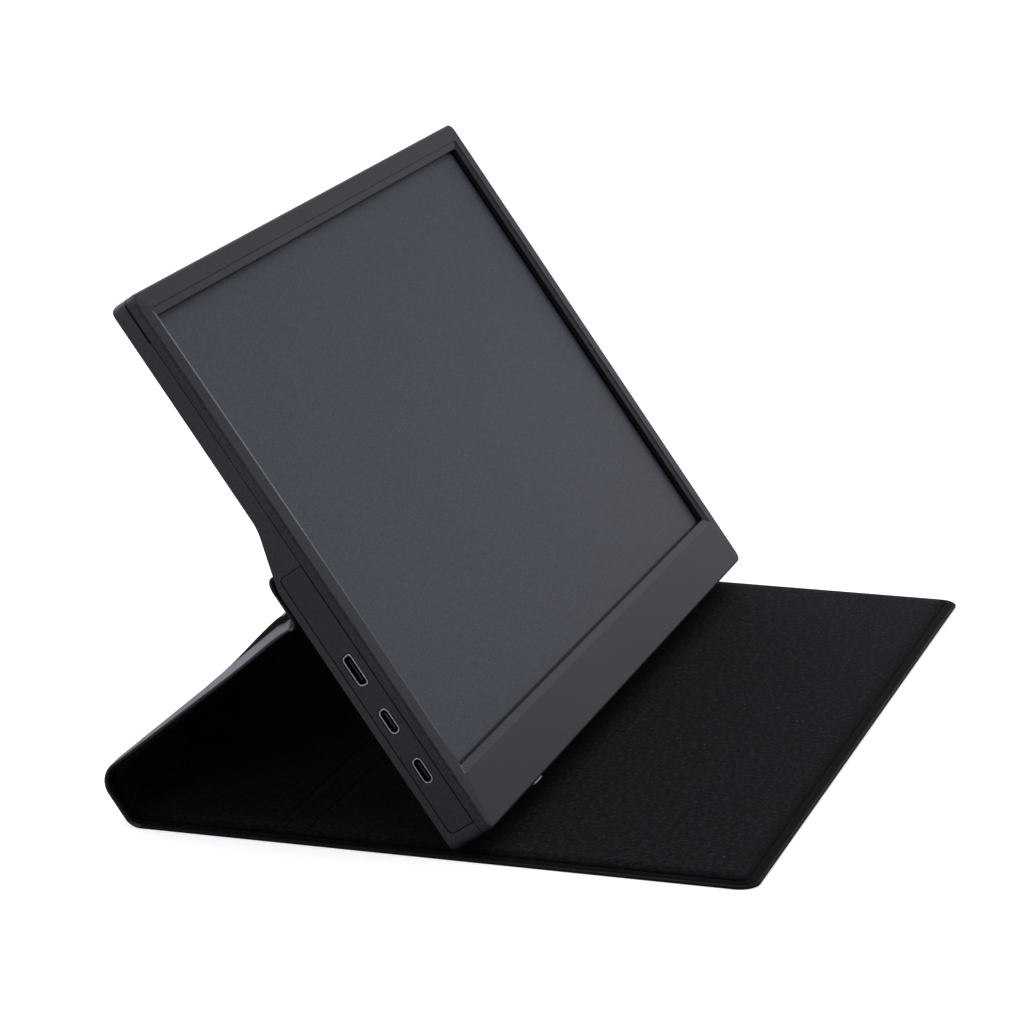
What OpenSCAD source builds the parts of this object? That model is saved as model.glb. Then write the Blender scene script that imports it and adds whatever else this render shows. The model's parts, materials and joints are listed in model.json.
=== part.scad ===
// Portable monitor in a folio cover, standing open as a stand.
// X runs to the viewer's right, Y to the back, Z up. The origin is on the table, in the middle
// of the whole object's footprint. Everything is in millimetres.

/* [Monitor housing] */
// Outer width of the monitor
mon_w = 368; // [352:1:400]
// Outer height of the monitor, along its face
mon_h = 230; // [226:1:250]
// Radius of the housing's corners, seen from the front
corner_r = 3.8; // [3:0.2:8]
// Thickness of the upper, thin part
thin_t = 10.4; // [9.6:0.1:12]
// Thickness of the lower part, which holds the electronics
thick_t = 17.6; // [17:0.1:22]
// Height of the thick part, along the face
thick_h = 113; // [112:1:120]
// Length of the ramp between the thick and the thin part
ramp_l = 23; // [16:1:30]
// Rounding of the front frame's outer edge
edge_r = 1; // [0.6:0.1:2]
// Rounding of the lower rear edge
foot_r = 1.5; // [0.8:0.1:2.5]
// Height of the front frame's side band
frame_side = 4; // [3.8:0.1:4.4]
// Wall thickness of the rear shell's sides
wall = 1.8; // [1.4:0.1:2]
// Wall thickness of the rear shell's back
skin = 1.5; // [1.2:0.1:2]
// Joint line between housing pieces
seam = 0.15; // [0.1:0.05:0.3]

/* [Screen and bezel] */
// Distance from the monitor's side edges to the picture area
side_margin = 11.9; // [11.2:0.1:12.6]
// Distance from the monitor's top edge to the picture area
top_margin = 11; // [10.8:0.1:12]
// Distance from the monitor's bottom edge to the picture area
bottom_margin = 25.4; // [24:0.1:30]
// Width of the bezel's flat rim
rim_w = 7.3; // [6.5:0.1:7.5]
// Width of the sloped lip around the screen
lip_w = 3.25; // [2.5:0.05:3.4]
// Drop of the sloped lip
lip_drop = 1; // [0.7:0.1:1.6]
// Drop of the short bevel between the rim and the lip
lip_edge = 0.4; // [0.2:0.1:0.5]
// Depth of the screen's surface below the rim
screen_depth = 3.4; // [3.2:0.1:3.6]
// Thickness of the glass cell with its polarizers
cell_t = 1.3; // [1:0.1:1.5]
// Thickness of the light guide with its films
guide_t = 1.1; // [0.8:0.1:1.2]
// Sheet thickness of the panel's metal tray
tray_t = 0.4; // [0.3:0.1:0.5]

/* [Ports and keys] */
// Distance of the side plates' upper end past the thick part
plate_past = 3.6; // [1:0.1:4]
// Depth of the side plates across the side
plate_d = 10.4; // [9.6:0.1:11]
// Lower end of the side plates, from the monitor's bottom
plate_u = 6; // [4:0.5:7]
// Depth of the port centres below the front face
port_depth = 9.7; // [9.4:0.1:10]
// Height of the video socket from the bottom
hdmi_u = 74.5; // [68:0.5:78]
// Height of the upper USB-C socket from the bottom
usb_upper_u = 52.6; // [50:0.2:54]
// Height of the lower USB-C socket from the bottom
usb_lower_u = 31.2; // [29:0.2:33]
// Height of the power button from the bottom
power_u = 96; // [92:1:102]
// Height of the menu rocker from the bottom
rocker_u = 68; // [62:1:72]
// Height of the headphone socket from the bottom
jack_u = 34; // [30:1:40]
// Distance of the status light from the monitor's left edge
light_x = 62; // [40:1:120]
// Length of the status light
light_l = 9; // [5:0.5:12]

/* [Cover] */
// Width of the cover
cover_w = 370; // [354:1:404]
// Depth of the base panel, from its front edge to the spine's fold
base_d = 232.7; // [226:0.1:250]
// Thickness of the cover's panels
cover_t = 3; // [2.6:0.1:3.4]
// Thickness of the flap that holds the monitor
flap_t = 1.5; // [1.5:0.1:2.2]
// Thickness of the leather
leather_t = 0.7; // [0.5:0.1:0.8]
// Thickness of the napped lining
lining_t = 0.6; // [0.4:0.1:0.8]
// Width of the leather hem that is turned in around the lining
hem_w = 4; // [3:0.5:6]
// Width of the border along the cover's edges, which has no board
edge_w = 9; // [6:0.5:12]
// Thickness of the cover at its very edge
edge_t = 1.3; // [1:0.1:1.6]
// Radius of the cover's corners
cover_r = 5; // [3:0.5:8]
// Radius of the fold between base and spine
base_fold_r = 6; // [4:0.5:7]
// Width of the spine's flat strip
spine_w = 11; // [8:0.5:16]
// Radius of the fold between spine and rear panel
top_fold_r = 7.5; // [6:0.5:9]
// Radius of the fold between rear panel and flap
flap_fold_r = 3.4; // [3:0.1:5]
// Lean of the spine's strip from the table
spine_a = 54; // [50:1:60]
// Length of the flap's flat part
flap_l = 16; // [13:0.5:17]
// Distance of the pressed grooves from the base panel's rear edge
groove_at = 62.6; // [56:0.5:70]
// Distance between the two grooves
groove_step = 12.1; // [9:0.1:16]

/* [Stand] */
// Angle between the screen and the table
tilt = 54.7; // [52:0.1:58]
// Distance from the base panel's front edge to the monitor's front lower edge
stand_off = 97.5; // [92:0.5:103]
// Distance of the flap's fold below the upper end of the thick part
fold_drop = 14.3; // [12:0.1:17]

/* [Hidden] */
$fn = 48;

// Clearances: between bodies that move past each other, and between parts of one body
run_gap = 0.3;
fit_gap = 0.15;
glue_gap = 0.02;

// ---- the cover's side profile, as points in the Y-Z plane ----
function dir(a) = [cos(a), sin(a)];
function left(a) = [-sin(a), cos(a)];

half_t = cover_t / 2;
// Reach of the spine behind the base panel's rear edge
spine_reach = base_fold_r * sin(spine_a) + spine_w * cos(spine_a)
  + top_fold_r * (1 - sin(spine_a)) + half_t;
total_d = base_d + spine_reach;
base_y0 = -total_d / 2;
base_y1 = base_y0 + base_d;

// Where the monitor stands: its rounded rear lower edge sits just above the lining
mon_y = base_y0 + stand_off;
mon_z = cover_t + run_gap + foot_r + (thick_t - foot_r) * cos(tilt) - foot_r * sin(tilt);
// A point on the monitor, from its height along the face and its depth behind the face
function on_mon(u, depth) = [mon_y, mon_z] + u * dir(tilt) - depth * left(tilt);

// Fold between base and spine: the arc starts at the hinge line and turns up by spine_a
base_hinge = [base_y1, half_t];
spine_p1 = base_hinge + base_fold_r * [sin(spine_a), 1 - cos(spine_a)];
spine_p2 = spine_p1 + spine_w * dir(spine_a);
top_c = spine_p2 + top_fold_r * left(spine_a);
// Flap: its middle plane behind the monitor, and the sharp corner where it meets the rear panel
flap_mid = thick_t + fit_gap + flap_t / 2;
fold_u = thick_h - fold_drop;
corner_p = on_mon(fold_u, flap_mid);
reach = corner_p - top_c;
// Direction of the rear panel, which leaves the top fold as its tangent
rear_a = atan2(reach[1], reach[0]) + asin(top_fold_r / norm(reach));
top_hinge = top_c - top_fold_r * left(rear_a);
bend_a = rear_a - tilt;
bend_l = flap_fold_r * tan(bend_a / 2);
flap_hinge = corner_p - bend_l * dir(rear_a);
rear_l = norm(flap_hinge - top_hinge);
flap_u0 = fold_u + bend_l;

// ---- the screen stack, as depths behind the front face ----
lip_back = screen_depth - 0.4;
cell_back = screen_depth + cell_t;
guide_back = cell_back + guide_t;
tray_back = guide_back + tray_t;
window_w = mon_w - 2 * (rim_w + lip_w);
window_top = mon_h - rim_w - lip_w;
active_w = mon_w - 2 * side_margin;
active_top = mon_h - top_margin;
active_bottom = bottom_margin;
// The lower lip covers the cell's edge by the same amount as the upper one
window_bottom = active_bottom - (window_top - active_top) - 0.4;
chin_h = window_bottom - lip_w;
// Glass cell: it reaches this far past the picture area
cell_border = 3.2;
cell_w = active_w + 2 * cell_border;
cell_top = active_top + 2.6;
cell_bottom = active_bottom - 3.4;
guide_w = cell_w - 4;
tray_w = cell_w + 2 * (tray_t + fit_gap);
tray_top = cell_top + tray_t + fit_gap;
led_h = 2;
tray_bottom = cell_bottom - led_h - tray_t - fit_gap;
skirt_w = 3.4;
chin_wall = 1.6;

// ---- the electronics, in the thick part ----
// The sockets' bodies lie on the main board
socket_t = 3.8;
board_depth = port_depth + socket_t / 2 + glue_gap;
pcb_t = 1.2;
board_back = board_depth + pcb_t;
side_x = mon_w / 2;
inner_x = side_x - wall;
board_x0 = -inner_x + 1.8;
board_l = 118;
board_u0 = 23;
board_u1 = thick_h - 6;
board_x1 = board_x0 + board_l;
key_board_x1 = inner_x - 3.4;
key_board_w = 13;
key_board_x0 = key_board_x1 - key_board_w;
key_board_u0 = jack_u - 10;
key_board_u1 = power_u + 10;
floor_depth = thick_t - skin;
speaker_l = 32;
speaker_w = 13;
speaker_t = 5.2;
speaker_x = side_x - 46;
speaker_u = 12.5;
magnet_l = 24;
magnet_w = 9;
magnet_t = 2;
magnet_xs = [for (i = [-1.5, -0.5, 0.5, 1.5]) i * mon_w / 4.4];
post_r = 2.3;
screw_r = 1;
head_r = 1.9;
case_screw_at = [
  for (s = [-1, 1]) [s * (inner_x - post_r - 0.6), thick_h + ramp_l + 10],
  for (s = [-1, 1]) [s * (inner_x - post_r - 0.6), mon_h - 9],
  for (s = [-1, 1]) [s * mon_w / 6, mon_h - wall - post_r - 0.6]
];
board_screw_at = [
  for (x = [board_x0 + 12, board_x1 - 5], u = [board_u0 + 5, board_u1 - 5]) [x, u]
];

// ---- shapes ----
// Moves children from the monitor's own frame (X right, Y up the face, Z out of the face)
module on_monitor() {
  translate([0, mon_y, mon_z]) rotate([tilt, 0, 0]) children();
}

// Extrudes an X-Y outline between two depths behind the monitor's face
module at_depth(d0, d1) {
  translate([0, 0, -d1]) linear_extrude(d1 - d0) children();
}

// Extrudes a Y-Z outline between two places along X
module along_x(x0, x1) {
  translate([x0, 0, 0]) rotate([90, 0, 90]) linear_extrude(x1 - x0) children();
}

// Extrudes an X-Z outline between two places along Y
module along_y(y0, y1) {
  translate([0, y1, 0]) rotate([90, 0, 0]) linear_extrude(y1 - y0) children();
}

// A rectangle from corner to corner
module span(x0, x1, y0, y1) {
  translate([x0, y0]) square([x1 - x0, y1 - y0]);
}

// A rectangle from corner to corner with round corners
module round_span(x0, x1, y0, y1, r) {
  span(x0 + r, x1 - r, y0, y1);
  span(x0, x1, y0 + r, y1 - r);
  for (x = [x0 + r, x1 - r], y = [y0 + r, y1 - r]) translate([x, y]) circle(r);
}

// A slot with round ends, centred on the origin
module slot(l, w) {
  square([l - w, w], center = true);
  for (s = [-1, 1]) translate([s * (l - w) / 2, 0]) circle(w / 2);
}

// Points of an outline whose corners are rounded; each corner is [x, y, radius]
function corner_arc(p, c, n, r, steps) =
  let (
    a = (p - c) / norm(p - c),
    b = (n - c) / norm(n - c),
    half = acos(a * b) / 2,
    mid = (a + b) / norm(a + b),
    centre = c + mid * r / sin(half),
    from = centre - mid * r,
    sweep = 90 - half,
    turn = a[0] * b[1] - a[1] * b[0] > 0 ? -1 : 1
  )
  [for (i = [0:steps])
    let (t = turn * sweep * (1 - 2 * i / steps), v = from - centre)
    centre + [v[0] * cos(t) + v[1] * sin(t), v[1] * cos(t) - v[0] * sin(t)]];

function xy(p) = [p[0], p[1]];
function rounded(pts, steps = 10) =
  let (n = len(pts))
  [for (i = [0:n - 1])
    let (c = pts[i], prev = pts[(i + n - 1) % n], next = pts[(i + 1) % n])
    each (c[2] > 0 ? corner_arc(xy(prev), xy(c), xy(next), c[2], steps) : [xy(c)])];

// A bent sheet's outline: a path given as [point, left normal] pairs, between two offsets
module band(path, o0, o1) {
  n = len(path) - 1;
  polygon(concat(
    [for (i = [0:n]) path[i][0] + o0 * path[i][1]],
    [for (i = [n:-1:0]) path[i][0] + o1 * path[i][1]]
  ));
}

// Points of a half-round end, from the left side of a direction round to its right side
function end_round(p, n, r, steps = 8) =
  [for (i = [1:steps - 1])
    let (t = 180 * i / steps)
    p + r * (cos(t) * n + sin(t) * [n[1], -n[0]])];

// A bent sheet's outline with half-round ends
module round_band(path, r) {
  n = len(path) - 1;
  polygon(concat(
    [for (i = [0:n]) path[i][0] + r * path[i][1]],
    end_round(path[n][0], path[n][1], r),
    [for (i = [n:-1:0]) path[i][0] - r * path[i][1]],
    end_round(path[0][0], -path[0][1], r)
  ));
}

// A bend's path: from a start point and direction, turning left by an angle
function bend_path(p, a, turn, r, steps = 12) =
  [for (i = [0:steps])
    let (t = a + turn * i / steps)
    [p + r * left(a) - r * left(t), left(t)]];

// Cross section of a panel from a0 to a1. A free edge thins out to the edge's thickness; an edge
// at a fold keeps the full thickness and is round.
module panel_section(a0, a1, t, free0, free1) {
  e0 = free0 ? edge_t / 2 : t / 2;
  e1 = free1 ? edge_t / 2 : t / 2;
  s0 = free0 ? edge_w : t / 2;
  s1 = free1 ? edge_w : t / 2;
  polygon([
    [a0 + e0, 0], [a1 - e1, 0], [a1 - e1, 2 * e1], [a1 - s1, t], [a0 + s0, t], [a0 + e0, 2 * e0]
  ]);
  translate([a0 + e0, e0]) circle(e0);
  translate([a1 - e1, e1]) circle(e1);
}

// One flat, stiffened panel of the cover, lying along +Y from its hinge or free end. The lining's
// side is up. A radius stands for a free end with round corners.
module panel_body(l, t, r0, r1) {
  intersection() {
    along_x(-cover_w / 2, cover_w / 2) panel_section(-t / 2, l + t / 2, t, r0 > 0, r1 > 0);
    along_y(-t, l + t) panel_section(-cover_w / 2, cover_w / 2, t, true, true);
    translate([0, 0, -1]) linear_extrude(t + 2) {
      span(-cover_w / 2, cover_w / 2, r0 - t / 2, l + t / 2 - r1);
      span(-cover_w / 2 + max(r0, r1), cover_w / 2 - max(r0, r1), -t / 2, l + t / 2);
      if (r0 > 0)
        for (s = [-1, 1]) translate([s * (cover_w / 2 - r0), r0 - t / 2]) circle(r0);
      if (r1 > 0)
        for (s = [-1, 1]) translate([s * (cover_w / 2 - r1), l + t / 2 - r1]) circle(r1);
    }
  }
}

module panel_pocket(l, z0, z1, gap) {
  w = cover_w / 2 - hem_w + gap;
  translate([0, 0, z0]) linear_extrude(z1 - z0) span(-w, w, hem_w / 2 - gap, l - hem_w / 2 + gap);
}

module panel_leather(l, t, r0, r1) {
  difference() {
    panel_body(l, t, r0, r1);
    panel_pocket(l, leather_t, t + 1, 0);
  }
}

module panel_board(l, t, r0, r1) {
  intersection() {
    translate([0, 0, -lining_t - glue_gap]) panel_body(l, t, r0, r1);
    panel_pocket(l, leather_t + glue_gap, t, -glue_gap);
  }
}

module panel_lining(l, t, r0, r1) {
  intersection() {
    difference() {
      panel_body(l, t, r0, r1);
      translate([0, 0, -lining_t]) panel_body(l, t, r0, r1);
    }
    panel_pocket(l, leather_t, t + 1, -run_gap);
  }
}

// ---- the cover ----
base_l = base_d - cover_t - run_gap - half_t;

module in_base() {
  translate([0, base_y0 + half_t, 0]) children();
}

module base_leather() {
  color("#26282b") in_base() panel_leather(base_l, cover_t, cover_r, 0);
}

module base_board() {
  color("#6b5a45") in_base() panel_board(base_l, cover_t, cover_r, 0);
}

module base_lining() {
  color("#1b1c1e") difference() {
    in_base() panel_lining(base_l, cover_t, cover_r, 0);
    for (i = [0, 1])
      translate([0, base_y1 - groove_at + i * groove_step, cover_t])
        rotate([0, 90, 0]) cylinder(h = cover_w + 2, r = 0.45, center = true);
  }
}

spine_path = concat(
  bend_path(base_hinge, 0, spine_a, base_fold_r),
  bend_path(spine_p2, spine_a, rear_a - spine_a, top_fold_r)
);
spine_flat = [[spine_p1, left(spine_a)], [spine_p2, left(spine_a)]];

// Half widths of the spine's full thickness and of its lining
thick_x = cover_w / 2 - edge_w;
lined_x = thick_x - leather_t;

module spine_leather() {
  color("#26282b") {
    difference() {
      along_x(-thick_x, thick_x) round_band(spine_path, half_t);
      along_x(-lined_x, lined_x) {
        band(spine_path, half_t - lining_t, half_t + 1);
        band(spine_flat, leather_t - half_t, half_t);
      }
    }
    // Thin borders
    for (x = [-cover_w / 2, thick_x]) along_x(x, x + edge_w)
      band(spine_path, -half_t, edge_t - half_t);
  }
}

module spine_board() {
  color("#6b5a45") along_x(glue_gap - lined_x, lined_x - glue_gap)
    band(spine_flat, leather_t - half_t + glue_gap, half_t - lining_t - glue_gap);
}

module spine_lining() {
  color("#1b1c1e") along_x(run_gap - lined_x, lined_x - run_gap)
    band(spine_path, half_t - lining_t + glue_gap, half_t);
}

rear_panel_l = rear_l - (cover_t + run_gap) - (half_t + flap_t / 2 + run_gap);

module in_rear_panel() {
  translate([0, top_hinge[0], top_hinge[1]]) rotate([rear_a, 0, 0])
    translate([0, cover_t + run_gap, -half_t]) children();
}

module rear_leather() {
  color("#2b2d30") in_rear_panel() panel_leather(rear_panel_l, cover_t, 0, 0);
}

module rear_board() {
  color("#6b5a45") in_rear_panel() panel_board(rear_panel_l, cover_t, 0, 0);
}

module rear_lining() {
  color("#1b1c1e") in_rear_panel() panel_lining(rear_panel_l, cover_t, 0, 0);
}

// Flap, in the monitor's frame: a flat strip against the back, then the bend to the hinge
flap_half = flap_t / 2;
flap_top = [flap_u0 + flap_l, -flap_mid];
flap_bend = [flap_u0, -flap_mid];
flap_path = concat([[flap_top, left(180)]], bend_path(flap_bend, 180, bend_a, flap_fold_r));
steel_t = 0.3;

// Pocket for the steel strip, which the lining covers
flap_pocket = [flap_u0 + 0.6, flap_u0 + flap_l - 1];
flap_floor = flap_half - lining_t - steel_t;

module flap_layer(z0, z1, gap) {
  w = cover_w / 2 - hem_w - gap;
  translate([0, 0, -flap_mid]) along_x(-w, w)
    span(flap_pocket[0] + gap, flap_pocket[1] - gap, z0, z1);
}

module flap_leather() {
  color("#26282b") on_monitor() difference() {
    intersection() {
      along_x(-cover_w / 2, cover_w / 2) round_band(flap_path, flap_half);
      at_depth(thick_t - 1, thick_t + flap_t + 2 * flap_fold_r)
        round_span(-cover_w / 2, cover_w / 2, 0, flap_top[0] + flap_half, cover_r);
    }
    flap_layer(flap_floor, flap_half + 1, 0);
  }
}

module flap_steel() {
  color("#8f9396") on_monitor() flap_layer(flap_floor + glue_gap, flap_half - lining_t - glue_gap, fit_gap);
}

module flap_lining() {
  color("#1b1c1e") on_monitor() flap_layer(flap_half - lining_t, flap_half, fit_gap);
}

// ---- the monitor's housing ----
// Rim outline of the front frame in a cross section, with its round front edges
module rim_profile(a0, a1) {
  span(a0, a1, -frame_side, -edge_r);
  span(a0 + edge_r, a1 - edge_r, -frame_side, 0);
  for (a = [a0 + edge_r, a1 - edge_r]) translate([a, -edge_r]) circle(edge_r);
}

// Corners of the window's outline, grown sideways, at a height
function window_corners(grow, z) =
  let (x = window_w / 2 + grow, y0 = window_bottom - grow, y1 = window_top + grow)
  [[-x, y0, z], [x, y0, z], [x, y1, z], [-x, y1, z]];

// A short bevel and the slope that lead from the flat rim down to the window, on all four sides
module lip_cut() {
  polyhedron(
    concat(
      window_corners(lip_w, 0.01), window_corners(lip_w, 0),
      window_corners(lip_w - lip_edge, -lip_edge), window_corners(0, -lip_drop)
    ),
    concat(
      [[3, 2, 1, 0], [12, 13, 14, 15]],
      [for (row = [0:2], i = [0:3])
        let (a = 4 * row, j = (i + 1) % 4) [a + i, a + j, a + j + 4, a + i + 4]]
    )
  );
}

hook_l = 9;
hook_t = 1.2;
hook_xs = [for (i = [-2.5:1:2.5]) i * mon_w / 6.2];
thin_floor = thin_t - skin;
light_depth = [1.9, 3.1];
light_x0 = light_x - side_x - light_l / 2;
light_x1 = light_x0 + light_l;

module front_frame() {
  color("#3c3e43") on_monitor() {
    difference() {
      intersection() {
        at_depth(0, frame_side) round_span(-side_x, side_x, 0, mon_h, corner_r);
        along_x(-side_x, side_x) rim_profile(0, mon_h);
        along_y(0, mon_h) rim_profile(-side_x, side_x);
      }
      lip_cut();
      at_depth(lip_drop - 0.1, frame_side + 1)
        span(-window_w / 2, window_w / 2, window_bottom, window_top);
      at_depth(lip_back, frame_side + 1)
        span(skirt_w - side_x, side_x - skirt_w, skirt_w, mon_h - skirt_w);
      at_depth(chin_wall, lip_back + 1) span(-tray_w / 2, tray_w / 2, skirt_w, chin_h - 2);
      at_depth(light_depth[0] - fit_gap, light_depth[1] + fit_gap)
        span(light_x0 - fit_gap, light_x1 + fit_gap, -1, skirt_w + 1);
    }
    for (p = case_screw_at) translate([p[0], p[1], 0]) difference() {
      at_depth(lip_back, thin_floor - glue_gap) circle(post_r);
      at_depth(lip_back + 1.2, thin_floor + 1) circle(screw_r + glue_gap);
    }
    for (x = hook_xs)
      at_depth(lip_back, frame_side + 3)
        span(x - hook_l / 2, x + hook_l / 2, wall + fit_gap, wall + fit_gap + hook_t);
  }
}

ramp_a = atan((thick_t - thin_t) / ramp_l);
ramp_shift = skin * tan(ramp_a / 2);
shell_front = frame_side + seam;
plate_z0 = shell_front + plate_d;
plate_h = thick_h + plate_past - plate_u;

module shell_profile() {
  polygon(rounded([
    [0, -shell_front, 0], [0, -thick_t, foot_r], [thick_h, -thick_t, 14],
    [thick_h + ramp_l, -thin_t, 22], [mon_h, -thin_t, 2], [mon_h, -shell_front, 0]
  ]));
}

module hollow_profile() {
  polygon(rounded([
    [wall, 1, 0], [wall, -floor_depth, 1], [thick_h - ramp_shift, -floor_depth, 13],
    [thick_h + ramp_l - ramp_shift, -thin_floor, 23], [mon_h - wall, -thin_floor, 1], [mon_h - wall, 1, 0]
  ]));
}

module shell_hollow() {
  intersection() {
    along_x(-inner_x, inner_x) hollow_profile();
    at_depth(0, thick_t) round_span(-inner_x, inner_x, wall, mon_h - wall, corner_r - wall);
  }
}

// Outline of a side plate in the Y-Z plane: round corners at the back, square ones at the seam
module plate_outline(grow) {
  y0 = plate_u - grow;
  y1 = plate_u + plate_h + grow;
  round_span(y0, y1, -plate_z0 - grow, -shell_front, 2 + grow);
  span(y0, y1, -shell_front - plate_d / 2, -shell_front);
}

module speaker_slots() {
  for (s = [-1, 1], i = [-4:4])
    translate([s * speaker_x + i * 3, speaker_u]) rotate(90) slot(8, 1.2);
}

rib_t = 1.2;
rib_xs = [for (i = [-2.5:1:2.5]) i * mon_w / 6.6];
pry_l = 18;

module rear_shell() {
  color("#3a3c41") on_monitor() {
    difference() {
      intersection() {
        along_x(-side_x, side_x) shell_profile();
        at_depth(0, thick_t) round_span(-side_x, side_x, 0, mon_h, corner_r);
      }
      shell_hollow();
      // Notches for the side plates
      along_x(-side_x - 1, -inner_x + 1) plate_outline(fit_gap);
      along_x(inner_x - 1, side_x + 1) plate_outline(fit_gap);
      // Screw holes with sunk heads
      for (p = case_screw_at) translate([p[0], p[1], 0]) {
        at_depth(thin_floor - 1, thin_t + 1) circle(screw_r + 0.1);
        at_depth(thin_t - 0.9, thin_t + 1) circle(head_r + 0.2);
      }
      at_depth(floor_depth - 1, thick_t + 1) speaker_slots();
      // Pry slot in the seam, at the upper left corner
      along_x(-side_x - 1, -inner_x - 0.6)
        span(mon_h - pry_l, mon_h - 0.6, -shell_front - 0.6, -shell_front + 1);
    }
    // Ribs that carry the display
    intersection() {
      shell_hollow();
      at_depth(tray_back + glue_gap, thick_t)
        for (x = rib_xs) span(x - rib_t / 2, x + rib_t / 2, thick_h + 2, mon_h - wall - 4);
    }
    // Posts for the boards
    for (p = concat(board_screw_at, key_screw_at)) translate([p[0], p[1], 0]) difference() {
      at_depth(board_back, floor_depth + 0.1) circle(post_r);
      at_depth(board_back - 1, floor_depth - 0.2) circle(screw_r + glue_gap);
    }
  }
}

// ---- sockets, plates and keys ----
usb_us = [usb_upper_u, usb_lower_u];
usb_mouth = [10.4, 4.1];
usb_body = [10, socket_t - 0.1];
usb_hollow = [9.3, 3];
hdmi_mouth = [13.2, 4.2];
hdmi_body = [12.8, socket_t];
hdmi_hollow = [12.1, 3.1];
socket_inset = 0.25;
mouth_l = 2;
socket_l = 8;
jack_r = 1.8;
jack_ring_r = 2.9;

// The video socket's outline: nearly a slot, wider and squarer on the side toward the screen
module hdmi_outline(size, grow) {
  w = size[0] / 2 + grow;
  h = size[1] / 2 + grow;
  narrow = 0.4;
  polygon(rounded([
    [-w, h, 0.3 * size[1]], [narrow - w, -h, 0.42 * size[1]],
    [w - narrow, -h, 0.42 * size[1]], [w, h, 0.3 * size[1]]
  ], 6));
}

module at_port(u) {
  translate([u, -port_depth]) children();
}

module port_plate() {
  color("#36383d") on_monitor() difference() {
    union() {
      along_x(-side_x, -inner_x) plate_outline(0);
      along_x(-inner_x, -inner_x + 1) plate_outline(1);
    }
    along_x(-side_x - 1, -inner_x + 2) {
      at_port(hdmi_u) hdmi_outline(hdmi_mouth, 0.1);
      for (u = usb_us) at_port(u) slot(usb_mouth[0] + 0.2, usb_mouth[1] + 0.2);
    }
  }
}

module usb_socket(u) {
  x0 = -side_x + socket_inset;
  color("#c9ccd0") on_monitor() difference() {
    union() {
      along_x(x0, x0 + mouth_l) at_port(u) slot(usb_mouth[0], usb_mouth[1]);
      along_x(x0 + mouth_l, x0 + socket_l) at_port(u) slot(usb_body[0], usb_body[1]);
    }
    along_x(x0 - 1, x0 + socket_l - 0.8) at_port(u) slot(usb_hollow[0], usb_hollow[1]);
  }
}

module usb_c_socket_upper() {
  usb_socket(usb_upper_u);
}

module usb_c_socket_lower() {
  usb_socket(usb_lower_u);
}

module hdmi_socket() {
  x0 = -side_x + socket_inset;
  color("#c9ccd0") on_monitor() difference() {
    union() {
      along_x(x0, x0 + mouth_l) at_port(hdmi_u) hdmi_outline(hdmi_mouth, 0);
      along_x(x0 + mouth_l, x0 + socket_l) at_port(hdmi_u) hdmi_outline(hdmi_body, 0);
    }
    along_x(x0 - 1, x0 + socket_l - 0.8) at_port(hdmi_u) hdmi_outline(hdmi_hollow, 0);
  }
}

module contact_tongues() {
  x0 = -side_x + socket_inset;
  color("#17181a") on_monitor() along_x(x0 + 0.9, x0 + socket_l - 0.8) {
    for (u = usb_us) at_port(u) square([6.7, 0.7], center = true);
    at_port(hdmi_u) square([8.6, 0.6], center = true);
  }
}

// Keys: the caps stand a little proud of the plate; a collar behind it holds each one in
cap_w = 3.6;
power_l = 12;
rocker_l = 18;
collar_x = inner_x - 1 - 0.25;
collar_t = 0.7;
rocker_pin_x = inner_x - 1.9;
rocker_pin_r = 0.8;
rocker_pin_fit = 0.05;
rocker_play = 0.4;
lug_t = 1.2;

module key_plate() {
  lug_z = cap_w / 2 + 0.4;
  color("#36383d") on_monitor() {
    difference() {
      union() {
        along_x(inner_x, side_x) plate_outline(0);
        along_x(inner_x - 1, inner_x) plate_outline(1);
      }
      along_x(inner_x - 2, side_x + 1) {
        at_port(power_u) slot(power_l + 2 * fit_gap, cap_w + 2 * fit_gap);
        at_port(rocker_u) slot(rocker_l + 2 * rocker_play, cap_w + 2 * fit_gap);
        at_port(jack_u) circle(jack_ring_r + 0.1);
      }
    }
    // Lugs for the rocker's pin
    for (s = [-1, 1]) difference() {
      translate([0, 0, -port_depth + s * (lug_z + lug_t / 2)])
        linear_extrude(lug_t, center = true)
          span(rocker_pin_x - 1.3, inner_x - 0.9, rocker_u - 2, rocker_u + 2);
      translate([rocker_pin_x, rocker_u, -port_depth])
        cylinder(h = 2 * lug_z + 3 * lug_t, r = rocker_pin_r + rocker_pin_fit, center = true);
    }
  }
}

module power_button() {
  color("#34363a") on_monitor() {
    along_x(collar_x, side_x + 0.5) at_port(power_u) slot(power_l, cap_w);
    along_x(collar_x - collar_t, collar_x) at_port(power_u) slot(power_l + 2, cap_w + 1.6);
  }
}

module menu_rocker() {
  cap_x0 = inner_x + 0.4;
  color("#34363a") on_monitor() {
    along_x(cap_x0, side_x + 0.5) at_port(rocker_u) slot(rocker_l, cap_w);
    along_x(rocker_pin_x - 1, cap_x0) at_port(rocker_u) square([3, cap_w], center = true);
    along_x(switch_tip_x + 0.3, cap_x0) for (s = [-1, 1])
      at_port(rocker_u + s * rocker_switch) square([1.4, 2], center = true);
    translate([rocker_pin_x, rocker_u, -port_depth])
      cylinder(h = cap_w + 2 * lug_t + 0.6, r = rocker_pin_r, center = true);
  }
}

rocker_switch = 5;
switch_tip_x = key_board_x1 + 1;
key_screw_at = [for (u = [key_board_u0 + 4, key_board_u1 - 4]) [key_board_x0 + 4, u]];

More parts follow.
